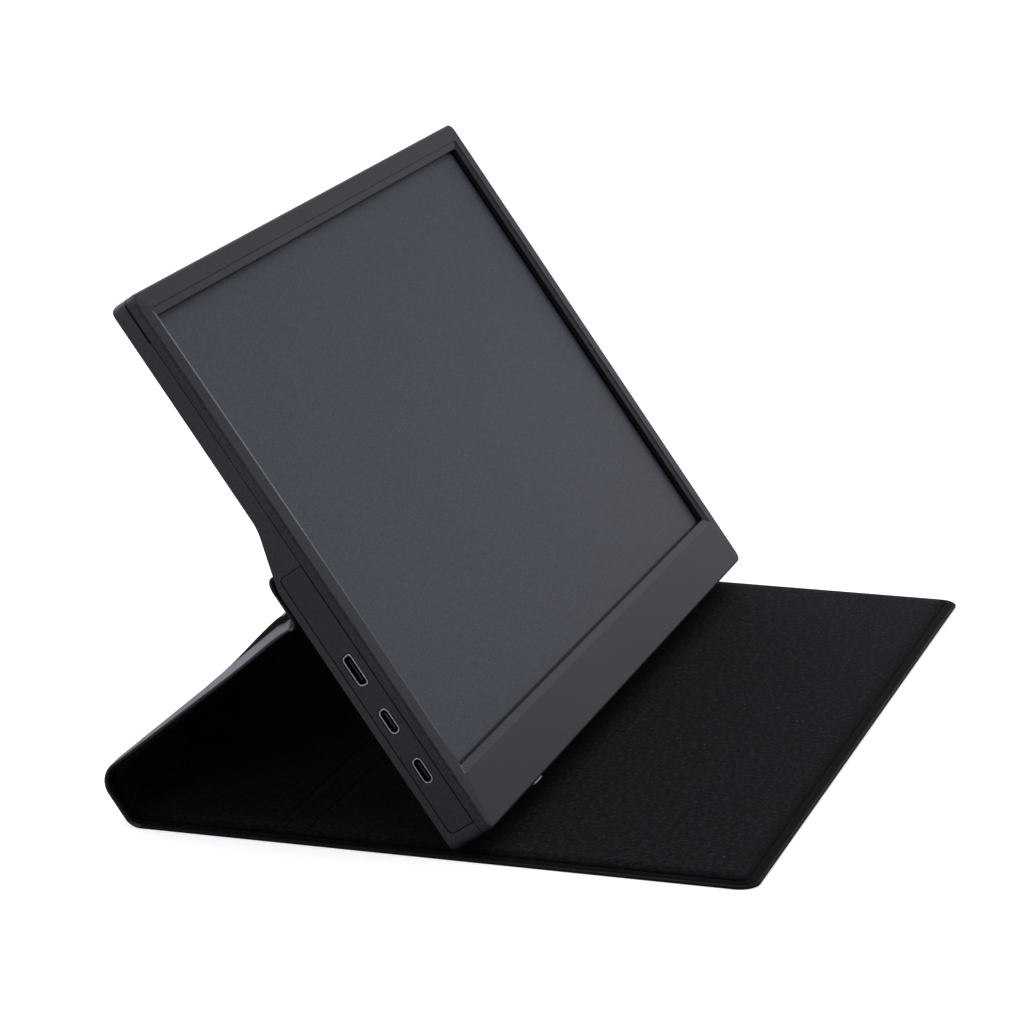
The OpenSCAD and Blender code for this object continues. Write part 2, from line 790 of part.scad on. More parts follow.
module key_board() {
  color("#1f5a3c") on_monitor() at_depth(board_depth, board_back) difference() {
    round_span(key_board_x0, key_board_x1, key_board_u0, key_board_u1, 1);
    span(jack_x0 - fit_gap, key_board_x1 + 1, jack_u - jack_half - fit_gap, jack_u + jack_half + fit_gap);
    for (p = key_screw_at) translate(p) circle(screw_r + 0.1);
  }
}

module key_switches() {
  color("#8c8f93") on_monitor() for (u = [power_u, rocker_u - rocker_switch, rocker_u + rocker_switch]) {
    at_depth(board_depth - 3, board_depth) span(key_board_x1 - 4, key_board_x1, u - 2.6, u + 2.6);
    at_depth(port_depth - 0.7, port_depth + 0.7) span(key_board_x1, switch_tip_x, u - 1, u + 1);
  }
}

// The headphone socket sits in a notch of the key board
jack_half = 3;
jack_x1 = inner_x - 1 - fit_gap;
jack_x0 = jack_x1 - 12;

module headphone_socket() {
  color("#1d1e20") on_monitor() difference() {
    union() {
      at_depth(port_depth - jack_half, port_depth + jack_half)
        span(jack_x0, jack_x1, jack_u - jack_half, jack_u + jack_half);
      along_x(jack_x1, side_x - 0.1) at_port(jack_u) circle(jack_ring_r);
    }
    translate([side_x + 1, jack_u, -port_depth]) rotate([0, -90, 0])
      cylinder(h = side_x - jack_x0, r = jack_r);
  }
}

// ---- the display ----
module bezel_foam() {
  color("#111214") on_monitor() at_depth(lip_back, screen_depth) difference() {
    span(0.1 - cell_w / 2, cell_w / 2 - 0.1, cell_bottom + 0.1, cell_top - 0.1);
    span(-window_w / 2 - 0.3, window_w / 2 + 0.3, window_bottom - 0.3, window_top + 0.3);
  }
}

module lcd_cell() {
  color("#2a2d33") on_monitor() at_depth(screen_depth, cell_back)
    span(-cell_w / 2, cell_w / 2, cell_bottom, cell_top);
}

module light_guide() {
  color("#dfe3e6") on_monitor() at_depth(cell_back, guide_back)
    span(-guide_w / 2, guide_w / 2, cell_bottom, cell_top - 1);
}

module led_strip() {
  color("#e8e2c8") on_monitor() at_depth(cell_back + 0.1, guide_back)
    span(-guide_w / 2, guide_w / 2, cell_bottom - led_h, cell_bottom - glue_gap);
}

module panel_tray() {
  w = tray_w / 2;
  color("#9a9ea3") on_monitor() difference() {
    at_depth(cell_back, tray_back) span(-w, w, tray_bottom, tray_top);
    at_depth(cell_back - 1, guide_back)
      span(tray_t - w, w - tray_t, tray_bottom + tray_t, tray_top - tray_t);
  }
}

driver_t = 0.8;
driver_x = side_x - 76;
driver_u0 = tray_bottom + 1;
driver_u1 = driver_u0 + 9;
driver_back = tray_back + glue_gap + driver_t;
cable_x = board_x0 + 84.4;
cable_w = 12;
plug_t = 1;

module driver_board() {
  color("#1f5a3c") on_monitor() {
    at_depth(tray_back + glue_gap, driver_back) span(-driver_x, driver_x, driver_u0, driver_u1);
    at_depth(driver_back, driver_back + plug_t)
      span(cable_x - 1, cable_x + cable_w + 1, driver_u1 - 4, driver_u1 - 0.5);
  }
}

flex_t = 0.2;
flex_w = 34;
flex_step = driver_x * 0.4;
flex_r = (driver_back + flex_t - cell_back + 0.3) / 2;
flex_start = [cell_bottom - glue_gap, 0.3 - cell_back];
flex_turn = [tray_bottom - 0.5, 0.3 - cell_back];
flex_path = concat(
  [[flex_start, left(180)]],
  bend_path(flex_turn, 180, 180, flex_r),
  [[[driver_u0 + 3, 0.3 - cell_back - 2 * flex_r], left(360)]]
);

module driver_flex() {
  color("#b8762e") on_monitor() for (i = [-2:2])
    along_x(i * flex_step - flex_w / 2, i * flex_step + flex_w / 2) band(flex_path, -flex_t / 2, flex_t / 2);
}

// Ribbon from the driver board down to the main board
ribbon_t = 0.3;
ribbon_drop = board_depth - plug_t / 2 - (driver_back + plug_t / 2);
ribbon_a = 40;
ribbon_r = 2;
ribbon_p0 = [driver_u1 - 0.5, -driver_back - plug_t / 2];
ribbon_p1 = ribbon_p0 + [2, 0];
ribbon_p2 = ribbon_p1 + [ribbon_r * sin(ribbon_a), -ribbon_r * (1 - cos(ribbon_a))];
ribbon_run = (ribbon_drop - 2 * ribbon_r * (1 - cos(ribbon_a))) / sin(ribbon_a);
ribbon_p3 = ribbon_p2 + ribbon_run * dir(-ribbon_a);
ribbon_p4 = ribbon_p3 + [ribbon_r * sin(ribbon_a) + 2, -ribbon_r * (1 - cos(ribbon_a))];
ribbon_path = concat(
  [[ribbon_p0, left(0)]],
  bend_path(ribbon_p1, 0, -ribbon_a, -ribbon_r, 6),
  bend_path(ribbon_p3, -ribbon_a, ribbon_a, ribbon_r, 6),
  [[ribbon_p4, left(0)]]
);

module display_cable() {
  color("#c7c9cc") on_monitor() along_x(cable_x, cable_x + cable_w)
    band(ribbon_path, -ribbon_t / 2, ribbon_t / 2);
}

module light_board() {
  color("#1f5a3c") on_monitor() {
    at_depth(chin_wall, chin_wall + driver_t)
      span(light_x0 - 3, light_x1 + 3, skirt_w + 0.6, skirt_w + 6);
    at_depth(chin_wall + driver_t, chin_wall + driver_t + 0.9)
      span(light_x0 + 2, light_x1 - 2, skirt_w + 1.2, skirt_w + 2.8);
  }
}

module light_pipe() {
  color("#f4f6f8") on_monitor() at_depth(light_depth[0], light_depth[1])
    round_span(light_x0, light_x1, -0.9, skirt_w + 0.4, 0.5);
}

// ---- boards and sound ----
module main_board() {
  color("#1f5a3c") on_monitor() at_depth(board_depth, board_back) difference() {
    round_span(board_x0, board_x1, board_u0, board_u1, 1.5);
    for (p = board_screw_at) translate(p) circle(screw_r + 0.1);
  }
}

// A chip on the front of the main board
module chip(c) {
  at_depth(board_depth - c[4], board_depth)
    translate([board_x0 + c[0], board_u0 + c[1]]) square([c[2], c[3]], center = true);
}

can_x = 52;
can_u = 50;
// Chips: centre from the board's lower left corner, width, length and height
chips = [
  [can_x, can_u, 14, 14, 1.2], [20, 8, 6, 6, 0.9], [20, 30, 6, 6, 0.9],
  [84, 26, 9, 6, 1.1], [84, 34, 9, 6, 1.1]
];
capacitor_xs = [for (i = [0:3]) 40 + 9 * i];
can_w = 30;
can_h = 2.4;
key_cable_u = 84;
key_cable_w = 10;

module board_chips() {
  color("#202225") on_monitor() {
    for (c = chips) chip(c);
    for (x = capacitor_xs) at_depth(board_depth - 3, board_depth)
      translate([board_x0 + x, board_u0 + 8]) circle(3);
    // Plugs for the display's ribbon and the key board's ribbon
    at_depth(board_depth - plug_t, board_depth)
      span(cable_x - 1, cable_x + cable_w + 1, ribbon_p4[0], ribbon_p4[0] + 4);
    for (x = [board_x1 - 6, key_board_x0 + 1]) at_depth(board_depth - plug_t, board_depth)
      span(x, x + 5, key_cable_u - 1, key_cable_u + key_cable_w + 1);
  }
}

module shield_can() {
  x = board_x0 + can_x;
  u = board_u0 + can_u;
  h = can_w / 2;
  color("#aeb2b6") on_monitor() difference() {
    at_depth(board_depth - can_h, board_depth) span(x - h, x + h, u - h, u + h);
    at_depth(board_depth - can_h + 0.3, board_depth + 1)
      span(x - h + 0.3, x + h - 0.3, u - h + 0.3, u + h - 0.3);
  }
}

module key_cable() {
  color("#e6e7e8") on_monitor()
    at_depth(board_depth - plug_t / 2 - ribbon_t / 2, board_depth - plug_t / 2 + ribbon_t / 2)
      span(board_x1 - 1, key_board_x0 + 1, key_cable_u, key_cable_u + key_cable_w);
}

module speaker(s) {
  color("#2a2b2d") on_monitor() at_depth(floor_depth - speaker_t, floor_depth - glue_gap)
    translate([s * speaker_x, speaker_u]) round_span(
      -speaker_l / 2, speaker_l / 2, -speaker_w / 2, speaker_w / 2, 3);
}

module speaker_left() {
  speaker(-1);
}

module speaker_right() {
  speaker(1);
}

// ---- fasteners and magnets ----
module screw(p, head_d, l) {
  translate([p[0], p[1], 0]) difference() {
    union() {
      at_depth(head_d, head_d + 0.8) circle(head_r);
      at_depth(head_d < l ? head_d + 0.8 : l, head_d < l ? l : head_d) circle(screw_r);
    }
    at_depth(head_d < l ? head_d - 1 : head_d + 0.4, head_d < l ? head_d + 0.4 : head_d + 2) {
      square([2, 0.5], center = true);
      square([0.5, 2], center = true);
    }
  }
}

module case_screws() {
  color("#1c1d1f") on_monitor() for (p = case_screw_at) screw(p, thin_t - 0.9, lip_back + 1.6);
}

module board_screws() {
  color("#b9bcc0") on_monitor()
    for (p = concat(board_screw_at, key_screw_at)) screw(p, board_depth - 0.8, board_back + 2.8);
}

module shell_magnets() {
  color("#a5a8ac") on_monitor() at_depth(floor_depth - magnet_t, floor_depth - glue_gap)
    for (x = magnet_xs)
      span(x - magnet_l / 2, x + magnet_l / 2, thick_h - 1 - magnet_w, thick_h - 1);
}

base_leather();
base_board();
base_lining();
spine_leather();
spine_board();
spine_lining();
rear_leather();
rear_board();
rear_lining();
flap_leather();
flap_steel();
flap_lining();
front_frame();
rear_shell();
port_plate();
key_plate();
bezel_foam();
lcd_cell();
light_guide();
led_strip();
panel_tray();
driver_board();
driver_flex();
display_cable();
main_board();
board_chips();
shield_can();
hdmi_socket();
usb_c_socket_upper();
usb_c_socket_lower();
contact_tongues();
speaker_left();
speaker_right();
key_board();
key_switches();
headphone_socket();
key_cable();
power_button();
menu_rocker();
light_board();
light_pipe();
case_screws();
board_screws();
shell_magnets();
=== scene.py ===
"""Finish of a portable monitor in its folio cover: housing, screen, sockets and cover."""
import json
import math

import bmesh
import bpy
from mathutils import Matrix, Vector


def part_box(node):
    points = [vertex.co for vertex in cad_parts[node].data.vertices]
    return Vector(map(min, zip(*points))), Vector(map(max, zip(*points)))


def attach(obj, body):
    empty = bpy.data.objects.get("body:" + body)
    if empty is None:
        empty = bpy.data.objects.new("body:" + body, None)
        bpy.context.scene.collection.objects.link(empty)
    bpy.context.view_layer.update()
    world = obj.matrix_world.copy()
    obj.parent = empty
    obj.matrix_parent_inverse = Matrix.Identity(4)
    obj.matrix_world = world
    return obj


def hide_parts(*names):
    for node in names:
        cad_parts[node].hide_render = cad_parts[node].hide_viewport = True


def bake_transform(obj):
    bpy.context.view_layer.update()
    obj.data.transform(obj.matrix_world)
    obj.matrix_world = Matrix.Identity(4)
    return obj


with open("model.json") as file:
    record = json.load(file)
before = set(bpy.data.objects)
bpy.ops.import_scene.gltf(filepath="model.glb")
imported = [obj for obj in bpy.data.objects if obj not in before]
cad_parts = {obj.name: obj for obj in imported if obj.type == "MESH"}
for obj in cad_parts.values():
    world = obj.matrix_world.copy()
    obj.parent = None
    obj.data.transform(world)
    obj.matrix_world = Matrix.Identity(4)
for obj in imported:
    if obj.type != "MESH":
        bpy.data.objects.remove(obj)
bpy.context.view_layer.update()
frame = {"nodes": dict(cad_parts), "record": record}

MM = 0.001
SEED = 11
# A face of a plate is a side, and a face of the shell lies in a pocket, below these X normals
SIDE_NORMAL = 0.96
POCKET_NORMAL = 0.97

# ---- sizes, in metres, as in the part's own source ----
MON_W = 368 * MM
MON_H = 230 * MM
TILT = math.radians(54.7)
STAND_OFF = 97.5 * MM
THICK_T = 17.6 * MM
THICK_H = 113 * MM
FOOT_R = 1.5 * MM
CORNER_R = 3.8 * MM
EDGE_R = 1 * MM
FRAME_SIDE = 4 * MM
RIM_W = 7.3 * MM
LIP_W = 3.25 * MM
LIP_DROP = 1.0 * MM
LIP_EDGE = 0.4 * MM
LIP_BACK = 3 * MM
SKIRT_W = 3.4 * MM
WINDOW_BOTTOM = 24.55 * MM
CHIN_TOP = WINDOW_BOTTOM - LIP_W
ACTIVE_W = 344.2 * MM
ACTIVE_TOP = MON_H - 11 * MM
ACTIVE_BOTTOM = ACTIVE_TOP - 193.6 * MM
COVER_W = 370 * MM
BASE_D = 232.7 * MM
COVER_T = 3 * MM
FLAP_T = 1.5 * MM
LEATHER_T = 0.7 * MM
LINING_T = 0.6 * MM
HEM_W = 4.3 * MM
EDGE_W = 9 * MM
COVER_R = 5 * MM
FRONT_R = 8 * MM
RUN_GAP = 0.3 * MM
FIT_GAP = 0.15 * MM
SPINE_A = math.radians(54)
BASE_FOLD_R = 6 * MM
SPINE_W = 11 * MM
TOP_FOLD_R = 7.5 * MM
FLAP_FOLD_R = 3.4 * MM
FLAP_L = 16 * MM
GROOVE_AT = 62.6 * MM
GROOVE_STEP = 12.1 * MM
FOLD_DROP = 14.3 * MM

# ---- sizes of the soft and small forms that only the finish has ----
# The monitor's left lip bows towards the screen, and its left rim falls away to the side
LIP_BOW = 1.4 * MM
LEFT_FALL = 0.45 * MM
SEAM_BEVEL = 0.15 * MM
# Thickness of the cover's edge and the flap's, and how far the border lies lower at the back
EDGE_THICKNESS = 1.3 * MM
FLAP_EDGE = 0.9 * MM
BORDER_DROP = 0.4 * MM
FLAP_FADE = 8 * MM
# Turned-in hem: where the lining's cloth covers it, its rounded end, stitch line, and the line of
# painted crease shade
OVERLAY_FROM = 1.2 * MM
HEM_ROUND = 1.3 * MM
HEM_FALL = 0.55 * MM
STITCH_AT = 1.0 * MM
STITCH_W = 0.14 * MM
STITCH_DEPTH = 0.22 * MM
CREASE_SHADE_AT = 4.4 * MM
# Lining and board: distance from the edge, the lining's rounded edge, the board's distance from
# the folds at its two ends, and the gap between layers
LINING_INSET = 4.33 * MM
NAP_ROUND = 1.4 * MM
NAP_EDGE = 0.03 * MM
BOARD_INSET = 5.6 * MM
BOARD_ENDS = (5 * MM, 6 * MM)
LAYER_GAP = 0.02 * MM
# Lines pressed in by folding: width, depth, and where they start beside the edge
FOLD_LINE_W = 1.2 * MM
FOLD_LINE_DEPTH = 0.3 * MM
FOLD_LINE_FROM = 6 * MM
FOLD_LINE_RUN = 4 * MM
GROOVE_W = 0.45 * MM
GROOVE_DEPTH = 0.4 * MM
# Bulge of the rear panel towards the flap: height, and start and length of its fade. It rises
# between the sides, lifts the whole width, steps at the board, and starts just past the fold
RISE, RISE_FROM, RISE_FADE = 2.4 * MM, 16 * MM, 62 * MM
LIFT, LIFT_FADE = 0.9 * MM, 32 * MM
STEP, STEP_FROM, STEP_FADE = 2.3 * MM, 2 * MM, 38 * MM
BULGE_START, BULGE_RUN = 1.2 * MM, 2.2 * MM
# The step where the board begins under the leather, the crease before it, and how far before the
# step the dull leather with painted shade begins
STEP_AT = 10 * MM
STEP_W = 1.3 * MM
RISE_INSIDE = 0.5 * MM
CREASE_SHARE = 0.15
CREASE_W = 0.35 * MM
DULL_BEFORE = 0.15 * MM

base_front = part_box("base_leather")[0].y
face_foot = Vector((
    0,
    base_front + STAND_OFF,
    COVER_T + RUN_GAP + FOOT_R + (THICK_T - FOOT_R) * math.cos(TILT) - FOOT_R * math.sin(TILT),
))
MONITOR = Matrix.Translation(face_foot) @ Matrix.Rotation(TILT, 4, "X")


# ---- making meshes ----
def new_object(name, data):
    """A new object at the origin."""
    made = bpy.data.objects.new(name, data)
    bpy.context.scene.collection.objects.link(made)
    return made


def piece_from(name, verts, faces, finish):
    """A new piece at the origin, which has its place in its mesh."""
    mesh = bpy.data.meshes.new(name)
    mesh.from_pydata([tuple(v) for v in verts], [], faces)
    mesh.update()
    mesh.materials.append(finish)
    return new_object(name, mesh)


def smooth(piece, angle=35):
    """Smooth shading with edges kept sharp above an angle."""
    piece.data.polygons.foreach_set("use_smooth", [True] * len(piece.data.polygons))
    piece.data.set_sharp_from_angle(angle=math.radians(angle))
    return piece


def settle(piece):
    """Makes the piece's modifiers part of its mesh."""
    evaluated = piece.evaluated_get(bpy.context.evaluated_depsgraph_get())
    mesh = bpy.data.meshes.new_from_object(evaluated)
    piece.modifiers.clear()
    piece.data = mesh
    return piece


def keep_flats(piece):
    """Large faces keep their own shading beside small rounded edges."""
    weighted = piece.modifiers.new("flats", "WEIGHTED_NORMAL")
    weighted.mode = "FACE_AREA"
    weighted.weight = 50
    weighted.keep_sharp = True


def soften_edges(piece, width, segments, clamp):
    """Rounds the piece's sharp edges, all with the same width if it isn't clamped."""
    bevel = piece.modifiers.new("edges", "BEVEL")
    bevel.width = width
    bevel.segments = segments
    bevel.limit_method = "ANGLE"
    bevel.angle_limit = math.radians(30)
    bevel.use_clamp_overlap = clamp
    settle(piece)
    smooth(piece)
    keep_flats(piece)
    return settle(piece)


def merged_copy(node):
    """A bmesh of a node's shape with its loose triangles joined into faces."""
    shape = bmesh.new()
    shape.from_mesh(frame["nodes"][node].data)
    bmesh.ops.remove_doubles(shape, verts=shape.verts, dist=1e-6)
    bmesh.ops.dissolve_limit(
        shape, angle_limit=math.radians(0.5), verts=shape.verts, edges=shape.edges
    )
    return shape


def refined(node, finish, width, segments=2, body="monitor", sides=None, clamp=True):
    """A node's own shape with softened edges, which stands for the node.

    Its sides may have their own finish."""
    shape = merged_copy(node)
    mesh = bpy.data.meshes.new(node + "_finished")
    shape.to_mesh(mesh)
    shape.free()
    mesh.materials.clear()
    mesh.materials.append(finish)
    for face in mesh.polygons:
        face.material_index = 0
    piece = new_object(node + "_finished", mesh)
    soften_edges(piece, width, segments, clamp)
    # The sides' finish may be painted shade: the plates' sides are near black for the shade in
    # their gaps
    if sides:
        piece.data.materials.append(sides)
        for face in piece.data.polygons:
            face.material_index = int(abs(face.normal.x) < SIDE_NORMAL)
    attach(piece, body)
    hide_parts(node)
    return piece


def shade_pocket_walls(piece, node, finish, margin):
    """Gives the edges of a pocket a near-black finish, painted shade of the gap, where another node
    sits in it.
    """
    back = MONITOR.inverted()
    corners = [back @ vert.co for vert in frame["nodes"][node].data.vertices]
    low = [min(corner[axis] for corner in corners) - margin for axis in range(3)]
    high = [max(corner[axis] for corner in corners) + margin for axis in range(3)]
    piece.data.materials.append(finish)
    last = len(piece.data.materials) - 1
    for face in piece.data.polygons:
        place = back @ face.center
        near = all(low[axis] < place[axis] < high[axis] for axis in range(3))
        if near and abs(face.normal.x) < POCKET_NORMAL:
            face.material_index = last


# ---- making materials ----
def add(tree, kind, inputs=None, **settings):
    """A node with its settings and its unlinked inputs' values."""
    made = tree.nodes.new(kind)
    for name, value in settings.items():
        setattr(made, name, value)
    for name, value in (inputs or {}).items():
        made.inputs[name].default_value = value
    return made


def add_range(tree, low, high, to_low=0.0, to_high=1.0):
    """A node that maps one range of values to another and keeps within it."""
    ends = {"From Min": low, "From Max": high, "To Min": to_low, "To Max": to_high}
    return add(tree, "ShaderNodeMapRange", ends)


def add_math(tree, operation, inputs=None):
    """A node that works out one number from others."""
    return add(tree, "ShaderNodeMath", inputs, operation=operation)


def add_noise(tree, scale=5.0, detail=2.0, roughness=0.5, distortion=0.0):
    """A node of soft random patches."""
    inputs = {"Scale": scale, "Detail": detail, "Roughness": roughness, "Distortion": distortion}
    return add(tree, "ShaderNodeTexNoise", inputs)


def add_mix(tree, a=(0.5, 0.5, 0.5), b=(0.5, 0.5, 0.5)):
    """A node that mixes two colours."""
    return add(tree, "ShaderNodeMix", {"A": (*a, 1), "B": (*b, 1)}, data_type="RGBA")


def join(tree, links):
    """Links nodes. Each link is a node, its output, another node and its input."""
    for source, output, goal, socket in links:
        tree.links.new(source.outputs[output], goal.inputs[socket])


def new_group(name, tree, inputs, outputs):
    """An empty group with named inputs and outputs of given kinds, and its two end nodes."""
    group = bpy.data.node_groups.new(name, tree)
    for side, sockets in (("INPUT", inputs), ("OUTPUT", outputs)):
        for label, kind in sockets.items():
            group.interface.new_socket(label, in_out=side, socket_type="NodeSocket" + kind)
    return group, group.nodes.new("NodeGroupInput"), group.nodes.new("NodeGroupOutput")


def effect_group(name, inputs, outputs):
    """An empty shader group with number inputs and outputs, and its two end nodes."""
    numbers = [dict.fromkeys(labels, "Float") for labels in (inputs, outputs)]
    return new_group(name, "ShaderNodeTree", *numbers)


def make_moulded_grain():
    """Fine spark-eroded texture of moulded plastic, with a slow change of tone."""
    group, given, out = effect_group("moulded_grain", ["Scale"], ["Height", "Tone"])
    place = add(group, "ShaderNodeTexCoord")
    fine = add_noise(group, detail=3.0, roughness=0.65)
    slow = add_noise(group, 26.0, 4.0)
    speckle = add_noise(group, 800.0, 2.0, 0.7)
    both = add(group, "ShaderNodeMix", {"Factor": 0.7})
    join(group, [
        (place, "Object", fine, "Vector"), (place, "Object", slow, "Vector"),
        (given, "Scale", fine, "Scale"), (place, "Object", speckle, "Vector"),
        (slow, "Fac", both, "A"), (speckle, "Fac", both, "B"), (fine, "Fac", out, "Height"),
        (both, "Result", out, "Tone"),
    ])
    return group


def make_hide_grain():
    """Pebbled grain of imitation leather: small cells with creases between them."""
    group, given, out = effect_group("hide_grain", ["Scale"], ["Height", "Tone"])
    place = add(group, "ShaderNodeUVMap", uv_map="lay")
    warp = add_noise(group, 300.0, 2.0)
    bend = add(group, "ShaderNodeVectorMath", {1: (0.0012, 0.0012, 0)}, operation="MULTIPLY_ADD")
    cells = add(group, "ShaderNodeTexVoronoi", feature="F1")
    creases = add_range(group, 0.15, 0.7, 1.0, 0.0)
    slow = add_noise(group, 18.0, 5.0)
    join(group, [
        (place, "UV", warp, "Vector"), (warp, "Color", bend, 0), (place, "UV", bend, 2),
        (bend, "Vector", cells, "Vector"), (given, "Scale", cells, "Scale"),
        (cells, "Distance", creases, "Value"), (place, "UV", slow, "Vector"),
        (creases, "Result", out, "Height"), (slow, "Fac", out, "Tone"),
    ])
    return group


def make_nap():
    """Short nap of a brushed lining: fibres that lean mostly one way, in soft patches."""
    group, given, out = effect_group("nap", ["Scale", "Lay"], ["Height", "Tone", "Fleck"])
    place = add(group, "ShaderNodeUVMap", uv_map="lay")
    stretch = add(group, "ShaderNodeCombineXYZ", {"Y": 1.0, "Z": 1.0})
    laid = add(group, "ShaderNodeVectorMath", operation="MULTIPLY")
    fibres = add_noise(group, detail=5.0, roughness=0.75, distortion=0.6)
    patches = add_noise(group, 480.0, 3.0, 0.7)
    specks = add_noise(group, 1900.0, 1.0)
    bright = add_range(group, 0.58, 0.72)
    join(group, [
        (given, "Lay", stretch, "X"), (place, "UV", laid, 0), (stretch, "Vector", laid, 1),
        (laid, "Vector", fibres, "Vector"), (given, "Scale", fibres, "Scale"),
        (place, "UV", patches, "Vector"), (place, "UV", specks, "Vector"),
        (specks, "Fac", bright, "Value"), (fibres, "Fac", out, "Height"),
        (patches, "Fac", out, "Tone"), (bright, "Result", out, "Fleck"),
    ])
    return group


MOULDED_GRAIN = make_moulded_grain()
HIDE_GRAIN = make_hide_grain()
NAP = make_nap()


def new_finish(name, **sockets):
    """A material with only its shader, and values on the shader's own sockets."""
    finish = bpy.data.materials.new(name)
    finish.use_nodes = True
    tree = finish.node_tree
    shader = tree.nodes["Principled BSDF"]
    for label, value in sockets.items():
        shader.inputs[label.replace("_", " ")].default_value = value
    return finish, tree, shader


def place_group(tree, group, **values):
    """A placed effect group with its own values."""
    placed = tree.nodes.new("ShaderNodeGroup")
    placed.node_tree = group
    for label, value in values.items():
        placed.inputs[label].default_value = value
    return placed


def tone_between(tree, texture, mask, dark, light, shader, low=0.45, high=0.55):
    """Colours the shader between two tones by one of a texture's masks."""
    spread = add_range(tree, low, high)
    mix = add_mix(tree, dark, light)
    join(tree, [
        (texture, mask, spread, "Value"), (spread, "Result", mix, "Factor"),
        (mix, "Result", shader, "Base Color"),
    ])
    return mix


def bump_from(tree, texture, distance, shader, strength=1.0):
    """Relief from a texture's height, in metres."""
    relief = add(tree, "ShaderNodeBump", {"Strength": strength, "Distance": distance})
    join(tree, [(texture, "Height", relief, "Height"), (relief, "Normal", shader, "Normal")])


def textured(name, group, grain, dark, light, rough, depth, strength, **sockets):
    """A finish whose tone, roughness and relief follow an effect group."""
    finish, tree, shader = new_finish(name, **sockets)
    texture = place_group(tree, group, Scale=grain)
    tone_between(tree, texture, "Tone", dark, light, shader)
    spread = add_range(tree, 0.3, 0.7, *rough)
    join(tree, [(texture, "Tone", spread, "Value"), (spread, "Result", shader, "Roughness")])
    bump_from(tree, texture, depth, shader, strength)
    return finish


def plastic(name, dark, light, rough=(0.42, 0.52), grain=2200.0, depth=0.02 * MM, **sockets):
    """Moulded plastic with a fine eroded texture."""
    return textured(name, MOULDED_GRAIN, grain, dark, light, rough, depth, 1.0, **sockets)


def metal(name, dark, light, rough=(0.22, 0.34), grain=3000.0):
    """Plated or rolled metal with light handling marks."""
    return plastic(name, dark, light, rough, grain, 0.004 * MM, Metallic=1.0)


def hide(name, dark, light, rough=(0.42, 0.55), gloss=0.5):
    """Imitation leather."""
    grain, depth, strength = 1150.0, 0.05 * MM, 0.6
    return textured(
        name, HIDE_GRAIN, grain, dark, light, rough, depth, strength, Specular_IOR_Level=gloss
    )


def nap_cloth(name, dark, light, fleck):
    """Napped lining with lighter fibre ends."""
    finish, tree, shader = new_finish(
        name, Specular_IOR_Level=0.07, Roughness=0.95, Sheen_Weight=0.035, Sheen_Roughness=0.45
    )
    texture = place_group(tree, NAP, Scale=700.0, Lay=0.35)
    mix = tone_between(tree, texture, "Tone", dark, light, shader, 0.48, 0.64)
    ends = add_mix(tree, b=fleck)
    join(tree, [(texture, "Fleck", ends, "Factor"), (mix, "Result", ends, "A")])
    # Painted shade: the nap's colour falls to near black along the crease, where the valley lies in
    # shade, and what covers the hem is darker
    place = add(tree, "ShaderNodeUVMap", uv_map="edge")
    inset = add(tree, "ShaderNodeSeparateXYZ")
    away = add_math(tree, "SUBTRACT", {1: CREASE_SHADE_AT})
    gap = add_math(tree, "ABSOLUTE")
    clear = add_range(tree, 0.2 * MM, 3.6 * MM)
    clear.interpolation_type = "SMOOTHSTEP"
    hem = add_range(tree, -0.3 * MM, 0.3 * MM, 0.45)
    kept = add_math(tree, "MULTIPLY")
    pressed = add_mix(tree, (0.0008, 0.0008, 0.0009))
    join(tree, [
        (place, "UV", inset, "Vector"), (inset, "X", away, 0), (away, 0, gap, 0),
        (gap, 0, clear, "Value"), (away, 0, hem, "Value"), (clear, "Result", kept, 0),
        (hem, "Result", kept, 1), (kept, 0, pressed, "Factor"), (ends, "Result", pressed, "B"),
        (pressed, "Result", shader, "Base Color"),
    ])
    bump_from(tree, texture, 0.25 * MM, shader, 0.8)
    return finish


def paint_socket_shade(finish, mouth, depth):
    """Paints shade into a finish within a depth behind the sockets' mouths, which lie at one place
    across, where the sockets' insides lie in shade.
    """
    tree = finish.node_tree
    shader = tree.nodes["Principled BSDF"]
    colour = shader.inputs["Base Color"].links[0].from_socket
    place = add(tree, "ShaderNodeTexCoord")
    across = add(tree, "ShaderNodeSeparateXYZ")
    inward = add_range(tree, mouth, mouth + depth)
    shade = add_mix(tree, b=(0.02, 0.02, 0.02))
    join(tree, [
        (place, "Object", across, "Vector"), (across, "X", inward, "Value"),
        (inward, "Result", shade, "Factor"),
        (shade, "Result", shader, "Base Color"),
    ])
    tree.links.new(colour, shade.inputs["A"])


